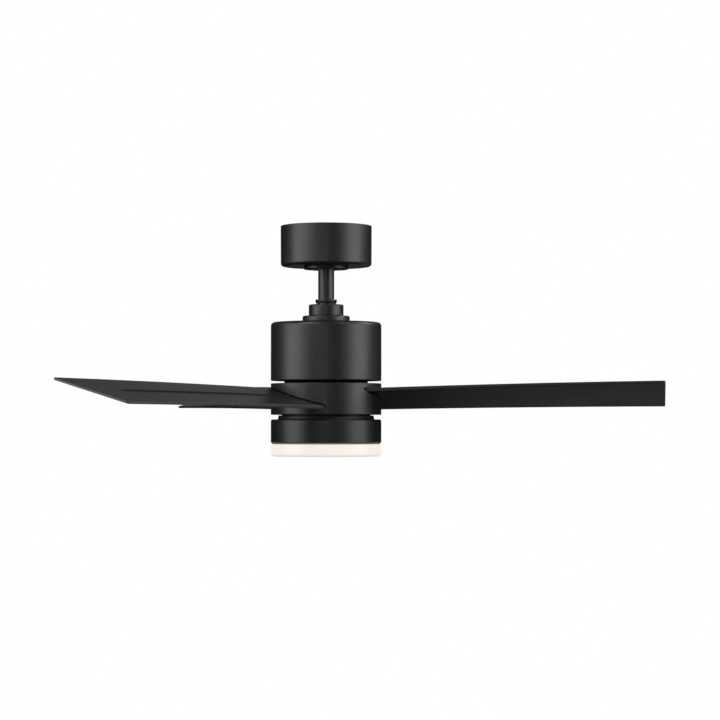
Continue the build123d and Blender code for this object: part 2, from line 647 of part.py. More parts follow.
def blade():
    """One blade along +X: pitched, bowed plate with square tip, rib and screw holes."""
    spans = (BLADE_ROOT, EDGE_SPAN, 200.0, 320.0, 440.0, SWEEP_RADIUS)
    plate = loft([blade_section(span) for span in spans])
    outline = Polyline(
        (0, -ROOT_HIGH_WIDTH),
        (SWEEP_RADIUS, -TIP_HIGH_WIDTH - 0.6),
        (SWEEP_RADIUS, TIP_LOW_WIDTH + 0.6),
        (0, ROOT_LOW_WIDTH),
        close=True,
    )
    face = make_face(outline)
    face = fillet(face.vertices().sort_by(Axis.X)[-2:], TIP_CORNER)
    plate &= Pos(0, 0, HUB_BOTTOM) * extrude(face, HUB_TOP - HUB_BOTTOM + 20)
    rib_sections = [
        rib_section(RIB_START, RIB_HALF_WIDTH, RIB_HEIGHT),
        rib_section(240.0, RIB_HALF_WIDTH, RIB_HEIGHT),
        rib_section(370.0, RIB_HALF_WIDTH, RIB_HEIGHT * 0.85),
        rib_section(RIB_END - 20, RIB_HALF_WIDTH, RIB_HEIGHT * 0.7),
        rib_section(RIB_END, RIB_HALF_WIDTH * 0.4, RIB_HEIGHT * 0.1),
    ]
    plate += loft(rib_sections)
    for span, across in BLADE_SCREWS:
        plate -= root_place(span, across, 0) * Cylinder(2.6, 12)
    return plate


def blade_pad():
    """Rubber sheet between one blade and the carrier."""
    above = ROOT_THICKNESS / 2 + PAD_GAP / 2
    pad = root_place(65.0, 0, above) * Box(28.0, 64.0, PAD_GAP - 2 * SNUG)
    for span, across in BLADE_SCREWS:
        pad -= root_place(span, across, above) * Cylinder(2.6, 6)
    return pad


def blade_screw_set():
    """The three screws of one blade, entering from below."""
    below = -ROOT_THICKNESS / 2 - SNUG
    screw = pan_screw(2.4, 4.6, 14.0, 2.6)
    return [root_place(span, across, below) * screw for span, across in BLADE_SCREWS]


def blade_carrier():
    """Cast plate that turns with the motor, with a slanted seat for each blade."""
    low = CARRIER_TOP - CARRIER_SHEET
    seat_face = ROOT_THICKNESS / 2 + PAD_GAP
    block = Pos(65.0, 0, low - 12) * Box(30.0, 68.0, 26.0)
    block -= root_place(65.0, 0, seat_face - 30) * Box(80.0, 120.0, 60.0)
    pocket = Pos(65.0, 9.0, low - 2.5) * Box(20.0, 30.0, 14.0)
    block -= pocket & root_place(65.0, 0, seat_face + 24) * Box(80.0, 120.0, 40.0)
    for span, across in BLADE_SCREWS:
        block -= root_place(span, across, seat_face) * Cylinder(2.45, 24)
    plate = disc(87.0, low, CARRIER_TOP)
    carrier = merged([plate, *around(block, BLADE_COUNT, FIRST_BLADE_AZIMUTH)])
    carrier -= disc(14.0, low - 1, CARRIER_TOP + 1)
    for hole in carrier_screw_places(Cylinder(2.3, 12), low):
        carrier -= hole
    screw_hole = Pos(HUB_SCREW_RADIUS, 0, low) * Cylinder(1.8, 12)
    for hole in around(screw_hole, BLADE_COUNT, FIRST_BLADE_AZIMUTH + 60):
        carrier -= hole
    return carrier


def carrier_screws():
    """Six screws from below that hold the carrier on the motor's neck."""
    screw = pan_screw(2.0, 3.8, CARRIER_SHEET + 2.0, 2.4)
    return group(carrier_screw_places(screw, CARRIER_TOP - CARRIER_SHEET - SNUG))


def hub_shell():
    """Round cover that turns with the blades, with a slanted slot for each."""
    outer = disc(HUB_RADIUS, HUB_BOTTOM, HUB_TOP)
    for height in (HUB_TOP, HUB_BOTTOM):
        outer = rounded(outer, HUB_RADIUS, height, SMALL_ROUND)
    inner = disc(HUB_RADIUS - 2, HUB_BOTTOM + 2, CARRIER_TOP + 0.2)
    shell = outer - inner - disc(NECK_RADIUS + 0.6, CARRIER_TOP - 1, HUB_TOP + 1)
    shell -= disc(76.0, HUB_BOTTOM - 1, HUB_BOTTOM + 3)
    sections = (
        blade_section(HUB_RADIUS, SLOT_SIDE_GAP, SLOT_BELOW_GAP, SLOT_ABOVE_GAP),
        slot_relief_section(),
    )
    for section in sections:
        cutter = Pos(-30, 0, 0) * extrude(section, 60)
        for slot in around(cutter, BLADE_COUNT, FIRST_BLADE_AZIMUTH):
            shell -= slot
    blind_hole = Pos(HUB_SCREW_RADIUS, 0, CARRIER_TOP + 0.4) * Cylinder(1.75, 2.2)
    for hole in around(blind_hole, BLADE_COUNT, FIRST_BLADE_AZIMUTH + 60):
        shell -= hole
    return shell


def hub_screws():
    """Three screws that hold the hub shell's top on the carrier."""
    screw = pan_screw(1.7, 3.2, CARRIER_SHEET + 1.2, 2.0)
    low = CARRIER_TOP - CARRIER_SHEET
    place = Pos(HUB_SCREW_RADIUS, 0, low - SNUG)
    return group(around(place * screw, BLADE_COUNT, FIRST_BLADE_AZIMUTH + 60))


# ---------------------------------------------------------------- light
def light_kit_pan():
    """Conical pan fixed on the shaft, which carries the light housing."""
    outer = [
        (SHAFT_RADIUS + SNUG, PAN_TOP),
        (PAN_TOP_RADIUS, PAN_TOP),
        (PAN_LOW_RADIUS, LIGHT_TOP),
        (71.0, LIGHT_TOP),
        (71.0, LIGHT_TOP + SHEET),
        (PAN_LOW_RADIUS - SHEET, LIGHT_TOP + SHEET),
        (PAN_TOP_RADIUS - SHEET, PAN_TOP - SHEET),
        (SHAFT_RADIUS + SNUG, PAN_TOP - SHEET),
    ]
    lip = ring(PAN_LIP_RADIUS, PAN_LIP_RADIUS - SHEET, PAN_TOP - SHEET / 2, PAN_TOP + PAN_LIP_HEIGHT)
    pan = turned(outer) + lip
    for hole in around(Pos(PAN_SCREW_RADIUS, 0, LIGHT_TOP) * Cylinder(1.8, 6), 3, PAN_SCREW_AZIMUTH):
        pan -= hole
    return pan


def shaft_nuts():
    """Two nuts that clamp the pan on the shaft."""
    upper = hex_nut(24.0, SHAFT_RADIUS + SNUG, PAN_TOP + SNUG, PAN_TOP + 7)
    lower = hex_nut(24.0, SHAFT_RADIUS + SNUG, PAN_TOP - SHEET - 7, PAN_TOP - SHEET - SNUG)
    return group([upper, lower])


def light_housing():
    """Drum that holds the light: open below, with a ledge and the lens's bayonet stops."""
    outer = disc(LIGHT_RADIUS, LIGHT_BOTTOM, LIGHT_TOP - SNUG)
    outer = rounded(outer, LIGHT_RADIUS, LIGHT_TOP - SNUG, SMALL_ROUND)
    inner_radius = LIGHT_RADIUS - SHEET
    drum = outer - disc(inner_radius, LIGHT_BOTTOM - 1, LIGHT_TOP - SNUG - SHEET)
    drum = fillet(rims(drum, LIGHT_RADIUS, LIGHT_BOTTOM), 1.2)
    drum -= disc(70.0, LIGHT_TOP - 4, LIGHT_TOP + 1)
    drum += ring(inner_radius + 0.5, 84.0, HEAT_SINK_TOP + SNUG, HEAT_SINK_TOP + 2)
    stop = arc_slot(89.6, 1.6, -LEDGE_HALF_ANGLE, LEDGE_HALF_ANGLE, -358.0, -356.4)
    for ledge in around(stop, LUG_COUNT):
        drum += ledge
    for hole in around(Pos(PAN_SCREW_RADIUS, 0, LIGHT_TOP) * Cylinder(1.8, 6), 3, PAN_SCREW_AZIMUTH):
        drum -= hole
    for hole in around(Pos(SINK_SCREW_RADIUS, 0, HEAT_SINK_TOP) * Cylinder(1.3, 6), 3, SINK_SCREW_AZIMUTH):
        drum -= hole
    return drum


def light_housing_screws():
    """Three screws from inside the housing up into the pan."""
    screw = pan_screw(1.7, 3.2, 4.0, 2.0)
    place = Pos(PAN_SCREW_RADIUS, 0, LIGHT_TOP - SHEET - 2 * SNUG)
    return group(around(place * screw, 3, PAN_SCREW_AZIMUTH))


def heat_sink():
    """Aluminium disc that carries the LED board and takes its heat."""
    plate = disc(88.0, HEAT_SINK_TOP - HEAT_SINK_SHEET, HEAT_SINK_TOP)
    plate -= Pos(0, 30, HEAT_SINK_TOP) * Cylinder(5, 10)
    for hole in around(Pos(SINK_SCREW_RADIUS, 0, HEAT_SINK_TOP) * Cylinder(1.3, 10), 3, SINK_SCREW_AZIMUTH):
        plate -= hole
    return plate


def heat_sink_screws():
    """Three screws that hold the heat sink under the housing's ledge."""
    screw = pan_screw(1.2, 2.0, HEAT_SINK_SHEET + 1.4, 1.2)
    low = HEAT_SINK_TOP - HEAT_SINK_SHEET
    return group(around(Pos(SINK_SCREW_RADIUS, 0, low - SNUG) * screw, 3, SINK_SCREW_AZIMUTH))


def led_board():
    """Round white-faced circuit board under the heat sink."""
    low = HEAT_SINK_TOP - HEAT_SINK_SHEET - SNUG
    board = disc(78.0, low - 1.6, low)
    return board - Pos(0, 30, low) * Cylinder(4, 10)


def led_chips():
    """Rings of LED packages on the board."""
    top = HEAT_SINK_TOP - HEAT_SINK_SHEET - 2 * SNUG - 1.6
    chips = []
    for radius, count in LED_RINGS:
        chips += around(Pos(radius, 0, top - 0.4) * Box(3.5, 2.8, 0.8), count, 7)
    return group(chips)


def led_driver():
    """Cased LED driver on top of the heat sink."""
    case = Pos(46, 0, HEAT_SINK_TOP + 8 + SNUG) * Box(50, 44, 16)
    case = fillet(case.edges().filter_by(Axis.Z), 3.0)
    return fillet(case.edges().sort_by(Axis.Z)[-1], 1.0)


def lens():
    """Opal cover: shallow cup with a spigot and bayonet lugs."""
    cup = disc(LIGHT_RADIUS, LENS_BOTTOM, LENS_TOP)
    cup = rounded(cup, LIGHT_RADIUS, LENS_BOTTOM, LENS_ROUND)
    cup = rounded(cup, LIGHT_RADIUS, LENS_TOP, 0.6)
    hollow = disc(86.5, LENS_BOTTOM + 2.2, LENS_TOP + 1)
    hollow = rounded(hollow, 86.5, LENS_BOTTOM + 2.2, 4.0)
    spigot = ring(88.2, 86.5, LENS_TOP - 1, -352.0)
    cover = cup - hollow + spigot
    lug = arc_slot(88.75, 1.5, -LUG_HALF_ANGLE, LUG_HALF_ANGLE, -356.1, -354.3)
    for piece in around(lug, LUG_COUNT):
        cover += piece
    return cover


def lens_gasket():
    """Black ring in the shadow gap between housing and lens."""
    return ring(89.6, 88.25, LENS_TOP + SNUG, LIGHT_BOTTOM - 0.3)


# ---------------------------------------------------------------- output
def all_nodes():
    """Every node's name and shape."""
    upper_inner, upper_outer, upper_balls = bearing(UPPER_BEARING)
    lower_inner, lower_outer, lower_balls = bearing(LOWER_BEARING)
    nodes = {
        "hanger_bracket": hanger_bracket(),
        "canopy": canopy(),
        "canopy_screws": canopy_screws(),
        "canopy_ring": canopy_ring(),
        "receiver_box": receiver_box(),
        "ground_screw": ground_screw(),
        "ball_seat_liner": ball_seat_liner(),
        "hanger_ball": hanger_ball(),
        "ball_cross_pin": ball_cross_pin(),
        "ball_set_screw": ball_set_screw(),
        "downrod": downrod(),
        "rod_collar": rod_collar(),
        "coupling_cover": coupling_cover(),
        "coupling_base": coupling_base(),
        "motor_yoke": motor_yoke(),
        "clevis_pin": clevis_pin(),
        "cotter_pin": cotter_pin(),
        "yoke_set_screws": yoke_set_screws(),
        "yoke_lock_nuts": yoke_lock_nuts(),
        "motor_housing": motor_housing(),
        "housing_screws": housing_screws(),
        "housing_base_ring": housing_base_ring(),
        "motor_shaft": motor_shaft(),
        "control_board": control_board(),
        "stator_core": stator_core(),
        "stator_windings": stator_windings(),
        "upper_bearing_inner": upper_inner,
        "upper_bearing_outer": upper_outer,
        "upper_bearing_balls": upper_balls,
        "lower_bearing_inner": lower_inner,
        "lower_bearing_outer": lower_outer,
        "lower_bearing_balls": lower_balls,
        "rotor_bell": rotor_bell(),
        "rotor_base": rotor_base(),
        "rotor_magnets": rotor_magnets(),
        "rotor_screws": rotor_screws(),
        "blade_carrier": blade_carrier(),
        "carrier_screws": carrier_screws(),
        "hub_shell": hub_shell(),
        "hub_screws": hub_screws(),
        "blade_pads": group(around(blade_pad(), BLADE_COUNT, FIRST_BLADE_AZIMUTH)),
        "light_kit_pan": light_kit_pan(),
        "shaft_nuts": shaft_nuts(),
        "light_housing": light_housing(),
        "light_housing_screws": light_housing_screws(),
        "heat_sink": heat_sink(),
        "heat_sink_screws": heat_sink_screws(),
        "led_board": led_board(),
        "led_chips": led_chips(),
        "led_driver": led_driver(),
        "lens": lens(),
        "lens_gasket": lens_gasket(),
    }
    one_blade = blade()
    for index, placed in enumerate(around(one_blade, BLADE_COUNT, FIRST_BLADE_AZIMUTH)):
        nodes[f"blade_{index + 1}"] = placed
    screw_sets = [around(screw, BLADE_COUNT, FIRST_BLADE_AZIMUTH) for screw in blade_screw_set()]
    nodes["blade_screws"] = group([screw for screws in screw_sets for screw in screws])
    return nodes


os.makedirs("parts", exist_ok=True)
for node_name, node_shape in all_nodes().items():
    export_step(node_shape, f"parts/{node_name}.step")
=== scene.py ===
"""Ceiling fan with light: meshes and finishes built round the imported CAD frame.

Lengths are metres in the frame of the CAD model: the ceiling is z = 0 and the fan hangs below it.
"""

import json
import logging
import math
from dataclasses import dataclass, field
from enum import Enum
from typing import Callable, Sequence

import bmesh
import bpy
from mathutils import Matrix, Vector


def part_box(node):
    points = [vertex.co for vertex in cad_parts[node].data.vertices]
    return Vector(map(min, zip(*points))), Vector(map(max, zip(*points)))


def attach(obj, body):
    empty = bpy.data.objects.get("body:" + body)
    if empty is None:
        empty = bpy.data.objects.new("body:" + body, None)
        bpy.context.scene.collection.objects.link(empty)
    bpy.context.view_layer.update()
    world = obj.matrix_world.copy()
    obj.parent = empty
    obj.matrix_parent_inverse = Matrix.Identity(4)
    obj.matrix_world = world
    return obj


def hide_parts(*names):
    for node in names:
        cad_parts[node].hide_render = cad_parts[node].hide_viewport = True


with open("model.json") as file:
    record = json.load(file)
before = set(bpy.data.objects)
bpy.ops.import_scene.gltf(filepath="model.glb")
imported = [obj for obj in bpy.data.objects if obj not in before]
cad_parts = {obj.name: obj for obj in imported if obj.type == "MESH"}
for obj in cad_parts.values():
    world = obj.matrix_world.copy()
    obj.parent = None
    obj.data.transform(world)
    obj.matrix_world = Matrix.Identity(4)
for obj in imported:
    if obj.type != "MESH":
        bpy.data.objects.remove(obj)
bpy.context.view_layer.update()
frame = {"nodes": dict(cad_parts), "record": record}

MM = 0.001
FULL_TURN = 2 * math.pi
FINE_STEPS = 160  # segments of a drum-sized turned piece
RING_STEPS = 120  # segments of the trim ring
CUP_STEPS = 96  # segments of the lower coupling cup
SMALL_STEPS = 72  # segments of a rod-sized turned piece
CRISP_EDGE = (0.2 * MM, 2)  # round and arc steps of a corner that is hardly broken
FINE_EDGE = (0.3 * MM, 2)
EASED_EDGE = (0.4 * MM, 2)
SNUG = 0.05 * MM  # gap between pieces fixed to each other
SCREW_HOLE = 2.3 * MM  # radius of a clearance hole for a housing or canopy screw
WELD = 0.002 * MM  # vertices closer than this become one
SHARP_ANGLE = 32  # degrees between faces above which an edge is shaded sharp
BROKEN_ANGLE = 34  # degrees between faces above which an edge is broken
FLAT_WEIGHT = 80  # how strongly large faces set the normals beside them
WEAR_BEGINS = 60.0  # curvature per metre
WEAR_FULL = 900.0  # curvature per metre
FLATTEST_WORN = 0.02  # radians between faces, below which an edge isn't worn
SHORTEST_REACH = 0.02 * MM  # least distance over which an edge is taken to turn
FIRST_AZIMUTH = -8.1  # degrees from +X to the first blade's span line
log = logging.getLogger("fan")


class Body(Enum):
    """The rigid bodies that new pieces move with."""

    CEILING = "ceiling_mount"
    TRIM = "trim_ring"
    HANGING = "hanging"
    ROTOR = "rotor"
    LENS = "lens"


# ---------------------------------------------------------------- shader tools
class Field:
    """A shader value that takes part in Python arithmetic."""

    def __init__(self, shader: "Shader", socket: bpy.types.NodeSocket) -> None:
        """Wraps a socket of one shader."""
        self.shader = shader
        self.socket = socket

    def _math(self, operation: str, first: object, second: object) -> "Field":
        """A Math node on two values, as a new field."""
        node = self.shader.node("ShaderNodeMath", {"operation": operation}, {0: first, 1: second})
        return Field(self.shader, node.outputs[0])

    def __add__(self, other: object) -> "Field":
        """self + other."""
        return self._math("ADD", self, other)

    __radd__ = __add__

    def __sub__(self, other: object) -> "Field":
        """self - other."""
        return self._math("SUBTRACT", self, other)

    def __rsub__(self, other: object) -> "Field":
        """other - self."""
        return self._math("SUBTRACT", other, self)

    def __mul__(self, other: object) -> "Field":
        """self * other."""
        return self._math("MULTIPLY", self, other)

    __rmul__ = __mul__

    def __pow__(self, other: object) -> "Field":
        """self ** other."""
        return self._math("POWER", self, other)

    def ramp(self, low: float, high: float) -> "Field":
        """A smooth step from 0 at low to 1 at high.

        Args:
            low: the value that gives 0.
            high: the value that gives 1; below low, the step runs downwards.

        Returns:
            The stepped field.
        """
        settings = {"interpolation_type": "SMOOTHSTEP"}
        start, end = (low, high) if low < high else (high, low)
        to_low, to_high = (0.0, 1.0) if low < high else (1.0, 0.0)
        inputs = {"Value": self, "From Min": start, "From Max": end, "To Min": to_low, "To Max": to_high}
        node = self.shader.node("ShaderNodeMapRange", settings, inputs)
        return Field(self.shader, node.outputs["Result"])


class Shader:
    """Builds the node tree of one material."""

    def __init__(self, name: str) -> None:
        """Starts a material with an empty tree."""
        self.material = bpy.data.materials.new(name)
        self.material.use_nodes = True
        self.tree = self.material.node_tree
        self.tree.nodes.clear()
        self._place: bpy.types.NodeSocket | None = None

    def node(
        self, kind: str, settings: dict | None = None, inputs: dict | None = None
    ) -> bpy.types.Node:
        """Adds any node.

        Args:
            kind: the node's type.
            settings: its properties, set before its sockets.
            inputs: values or links of its sockets, by name or index.

        Returns:
            The new node.
        """
        made = self.tree.nodes.new(kind)
        for key, value in (settings or {}).items():
            setattr(made, key, value)
        for key, value in (inputs or {}).items():
            if isinstance(value, Field):
                value = value.socket
            if isinstance(value, bpy.types.NodeSocket):
                self.tree.links.new(value, made.inputs[key])
            else:
                made.inputs[key].default_value = value
        return made

    def place(self) -> bpy.types.NodeSocket:
        """The point on the piece, in the frame's metres."""
        if self._place is None:
            self._place = self.node("ShaderNodeTexCoord").outputs["Object"]
        return self._place

    def axis(self, index: int) -> Field:
        """One coordinate of the point on the piece."""
        split = self.node("ShaderNodeSeparateXYZ", None, {0: self.place()})
        return Field(self, split.outputs[index])

    def radius(self) -> Field:
        """Distance of the point from the fan's axis."""
        across = self.axis(0) * self.axis(0) + self.axis(1) * self.axis(1)
        return across**0.5

    def noise(self, size: float, detail: float = 2.0, stretch: tuple = (1, 1, 1)) -> Field:
        """Cloudy noise from 0 to 1.

        Args:
            size: distance from one cloud to the next, in metres.
            detail: octaves of finer noise.
            stretch: how many times longer the clouds are along each axis.

        Returns:
            The noise, about 0.5 on average.
        """
        scale = tuple(1 / s for s in stretch)
        mapping = self.node("ShaderNodeMapping", None, {"Vector": self.place(), "Scale": scale})
        inputs = {"Vector": mapping.outputs[0], "Scale": 1 / size, "Detail": detail}
        return Field(self, self.node("ShaderNodeTexNoise", None, inputs).outputs[0])

    def bands(self, spacing: float) -> Field:
        """Level sine bands, 0 to 1.

        Args:
            spacing: distance from one band to the next.

        Returns:
            The bands.
        """
        settings = {"wave_type": "BANDS", "bands_direction": "Z", "wave_profile": "SIN"}
        # A wave texture at scale 1 repeats every pi / 10.
        inputs = {"Vector": self.place(), "Scale": math.pi / 10 / spacing}
        return Field(self, self.node("ShaderNodeTexWave", settings, inputs).outputs["Fac"])

    def cells(self, size: float) -> Field:
        """Distance field of scattered cells of a size."""
        inputs = {"Vector": self.place(), "Scale": 1 / size}
        made = self.node("ShaderNodeTexVoronoi", {"feature": "F1"}, inputs)
        return Field(self, made.outputs["Distance"])

    def wear(self) -> Field:
        """How exposed the surface is to rubbing: 0 on flats and 1 on outside edges."""
        made = self.node("ShaderNodeAttribute", {"attribute_name": "wear"})
        return Field(self, made.outputs["Fac"])

    def mix(self, mask: Field | float, first: tuple, second: object) -> bpy.types.NodeSocket:
        """A colour between two, by a mask."""
        settings = {"data_type": "RGBA", "clamp_factor": True}
        made = self.node("ShaderNodeMix", settings, {0: mask, 6: first, 7: second})
        return made.outputs[2]

    def bump(self, height: Field, depth: float) -> bpy.types.NodeSocket:
        """A normal from a height field of a depth in metres."""
        inputs = {"Height": height, "Distance": depth, "Strength": 1.0}
        return self.node("ShaderNodeBump", None, inputs).outputs[0]

    def surface(self, **sockets: object) -> bpy.types.Material:
        """Ends the material in a Principled shader.

        Args:
            **sockets: its inputs, with spaces in their names written as underscores.

        Returns:
            The finished material.
        """
        inputs = {key.replace("_", " "): value for key, value in sockets.items()}
        shader = self.node("ShaderNodeBsdfPrincipled", None, inputs)
        output = self.node("ShaderNodeOutputMaterial")
        self.tree.links.new(shader.outputs[0], output.inputs["Surface"])
        return self.material


def rgb(red: float, green: float, blue: float) -> tuple[float, float, float, float]:
    """An opaque colour."""
    return (red, green, blue, 1.0)


def shade(colour: tuple, factor: float) -> tuple[float, float, float, float]:
    """A colour made lighter or darker by a factor."""
    return tuple(channel * factor for channel in colour[:3]) + (1.0,)


# ---------------------------------------------------------------- finishes
@dataclass(frozen=True)
class SatinPaint:
    """Baked satin black on metal: faint orange peel, a little polish on edges."""

    name: str = "satin_black_paint"
    colour: tuple = rgb(0.012, 0.012, 0.0123)
    roughness: float = 0.40
    peel_size: float = 1.1 * MM
    peel_depth: float = 0.02 * MM

    def material(self) -> bpy.types.Material:
        """Builds the paint."""
        shader = Shader(self.name)
        cloud = shader.noise(60 * MM, 3)
        speck = shader.noise(0.5 * MM, 1)
        smear = shader.noise(22 * MM, 4, (1, 1, 3))
        worn = shader.wear() * shader.noise(3 * MM, 4).ramp(0.35, 0.7)
        tint = shader.mix(cloud.ramp(0.3, 0.7), shade(self.colour, 0.88), shade(self.colour, 1.12))
        tint = shader.mix(speck.ramp(0.66, 0.8) * 0.12, tint, rgb(0.09, 0.09, 0.09))
        tint = shader.mix(worn * 0.35, tint, rgb(0.07, 0.07, 0.072))
        roughness = self.roughness + (smear - 0.5) * 0.10 + (speck - 0.5) * 0.05 - worn * 0.08
        peel = shader.noise(self.peel_size, 2) + shader.noise(self.peel_size * 0.3, 1) * 0.4
        return shader.surface(
            Base_Color=tint,
            Roughness=roughness,
            Normal=shader.bump(peel, self.peel_depth),
            IOR=1.5,
        )


@dataclass(frozen=True)
class MouldedBlack:
    """Fine-grained black plastic of the blades."""

    name: str = "blade_moulded_black"
    colour: tuple = rgb(0.010, 0.010, 0.0103)
    roughness: float = 0.44
    grain_size: float = 0.55 * MM
    grain_depth: float = 0.025 * MM

    def material(self) -> bpy.types.Material:
        """Builds the plastic."""
        shader = Shader(self.name)
        cloud = shader.noise(90 * MM, 3)
        fine = shader.noise(self.grain_size, 2)
        pits = shader.cells(self.grain_size * 1.6).ramp(0.0, 0.55)
        worn = shader.wear() * shader.noise(4 * MM, 4).ramp(0.4, 0.7)
        dust = shader.noise(1.3 * MM, 5).ramp(0.62, 0.85) * shader.noise(45 * MM, 3).ramp(0.45, 0.75)
        tint = shader.mix(cloud.ramp(0.3, 0.7), shade(self.colour, 0.9), shade(self.colour, 1.1))
        tint = shader.mix(dust * 0.05, tint, rgb(0.16, 0.155, 0.15))
        tint = shader.mix(worn * 0.3, tint, rgb(0.075, 0.075, 0.077))
        roughness = self.roughness + (cloud - 0.5) * 0.08 + (fine - 0.5) * 0.08 - worn * 0.08
        return shader.surface(
            Base_Color=tint,
            Roughness=roughness,
            Normal=shader.bump(fine + pits * 0.6, self.grain_depth),
            IOR=1.5,
        )


@dataclass(frozen=True)
class OpalGlow:
    """Opal lens lit from behind: warm white, a little darker round its edges."""

    name: str = "opal_lens_lit"
    lit: tuple = rgb(0.88, 0.83, 0.775)
    edge: tuple = rgb(0.66, 0.60, 0.53)
    strength: float = 1.0
    top: float = -362 * MM
    bottom: float = -382.8 * MM
    rim_radius: float = 91.7 * MM

    def material(self) -> bpy.types.Material:
        """Builds the lens."""
        shader = Shader(self.name)
        height = shader.axis(2)
        upper = height.ramp(self.top - 1.8 * MM, self.top - 0.2 * MM)
        lower = height.ramp(self.bottom + 4.5 * MM, self.bottom + 0.5 * MM)
        below = shader.radius().ramp(self.rim_radius - 3 * MM, self.rim_radius - 9 * MM)
        rim = upper + lower * (1 - below)
        mottle = shader.noise(35 * MM, 2).ramp(0.3, 0.7)
        glow = shader.mix(mottle, self.lit, shade(self.lit, 0.975))
        glow = shader.mix(rim * 0.75, glow, self.edge)
        pebble = shader.noise(0.35 * MM, 2)
        return shader.surface(
            Base_Color=shader.mix(mottle, rgb(0.11, 0.107, 0.10), rgb(0.10, 0.097, 0.09)),
            Roughness=0.42 + (pebble - 0.5) * 0.1,
            Emission_Color=glow,
            Emission_Strength=self.strength,
            Normal=shader.bump(pebble, 0.01 * MM),
            IOR=1.49,
        )


@dataclass(frozen=True)
class PlatedSteel:
    """Zinc-plated pressed or turned steel."""

    name: str
    colour: tuple = rgb(0.58, 0.585, 0.57)
    warm: tuple = rgb(0.60, 0.55, 0.42)
    roughness: float = 0.34

    def material(self) -> bpy.types.Material:
        """Builds the plating."""
        shader = Shader(self.name)
        cloud = shader.noise(14 * MM, 4)
        spangle = shader.cells(2.2 * MM)
        scratch = shader.noise(1.2 * MM, 3, (14, 1, 1)).ramp(0.62, 0.72)
        worn = shader.wear() * 0.6
        tint = shader.mix(cloud.ramp(0.35, 0.7) * 0.6, self.colour, self.warm)
        tint = shader.mix(spangle.ramp(0.2, 0.9) * 0.25, tint, shade(self.colour, 0.7))
        tint = shader.mix(worn, tint, rgb(0.72, 0.72, 0.71))
        roughness = self.roughness + (cloud - 0.5) * 0.18 + scratch * 0.12 - worn * 0.1
        height = spangle * 0.5 + scratch * -0.6 + shader.noise(0.4 * MM, 2) * 0.5
        return shader.surface(
            Base_Color=tint,
            Metallic=1.0,
            Roughness=roughness,
            Normal=shader.bump(height, 0.02 * MM),
        )


@dataclass(frozen=True)
class TurnedSteel:
    """Ground and turned steel with fine lathe rings."""

    name: str
    colour: tuple = rgb(0.66, 0.66, 0.67)
    roughness: float = 0.2
    ring_spacing: float = 0.45 * MM

    def material(self) -> bpy.types.Material:
        """Builds the steel."""
        shader = Shader(self.name)
        rings = shader.bands(self.ring_spacing)
        stain = shader.noise(9 * MM, 4)
        tint = shader.mix(stain.ramp(0.45, 0.75) * 0.5, self.colour, shade(self.colour, 0.7))
        roughness = self.roughness + (stain - 0.5) * 0.14 + rings * 0.06
        return shader.surface(
            Base_Color=tint,
            Metallic=1.0,
            Roughness=roughness,
            Normal=shader.bump(rings + shader.noise(0.3 * MM, 2) * 0.5, 0.006 * MM),
        )


@dataclass(frozen=True)
class CastMetal:
    """Sand-rough die casting."""

    name: str
    colour: tuple = rgb(0.55, 0.56, 0.57)
    roughness: float = 0.48

    def material(self) -> bpy.types.Material:
        """Builds the casting."""
        shader = Shader(self.name)
        skin = shader.noise(1.4 * MM, 4)
        flow = shader.noise(20 * MM, 3, (1, 1, 2))
        pores = shader.cells(3.1 * MM).ramp(0.12, 0.03)
        tint = shader.mix(flow.ramp(0.3, 0.7), shade(self.colour, 0.85), self.colour)
        # The pores are also painted darker: painted shade in the pits that the bump cuts.
        tint = shader.mix(pores * 0.6, tint, shade(self.colour, 0.35))
        roughness = self.roughness + (flow - 0.5) * 0.16 + (skin - 0.5) * 0.1
        return shader.surface(
            Base_Color=tint,
            Metallic=0.95,
            Roughness=roughness,
            Normal=shader.bump(skin - pores, 0.07 * MM),
        )


@dataclass(frozen=True)
class Laminations:
    """Edge of a stack of varnished iron sheets."""

    name: str = "laminated_iron"
    colour: tuple = rgb(0.20, 0.20, 0.21)
    sheet: float = 0.5 * MM

    def material(self) -> bpy.types.Material:
        """Builds the stack."""
        shader = Shader(self.name)
        stack = shader.bands(self.sheet)
        varnish = shader.noise(8 * MM, 3)
        tint = shader.mix(stack.ramp(0.0, 0.35), shade(self.colour, 0.3), self.colour)
        tint = shader.mix(varnish.ramp(0.5, 0.75) * 0.5, tint, rgb(0.16, 0.09, 0.04))
        return shader.surface(
            Base_Color=tint,
            Metallic=0.8,
            Roughness=0.38 + (varnish - 0.5) * 0.2,
            Normal=shader.bump(stack, 0.08 * MM),
        )


@dataclass(frozen=True)
class WoundCopper:
    """Enamelled wire, laid turn by turn."""

    name: str = "enamelled_copper"
    colour: tuple = rgb(0.74, 0.33, 0.14)
    wire: float = 0.8 * MM

    def material(self) -> bpy.types.Material:
        """Builds the winding."""
        shader = Shader(self.name)
        turns = shader.bands(self.wire)
        varnish = shader.noise(6 * MM, 3)
        # The grooves between turns are painted darker: painted shade in the creases between the wires.
        tint = shader.mix(turns.ramp(0.0, 0.5), shade(self.colour, 0.25), self.colour)
        tint = shader.mix(varnish.ramp(0.4, 0.8) * 0.4, tint, shade(self.colour, 0.6))
        return shader.surface(
            Base_Color=tint,
            Metallic=0.9,
            Roughness=0.3 + (varnish - 0.5) * 0.16,
            Normal=shader.bump(turns, 0.3 * MM),
            Coat_Weight=0.4,
        )


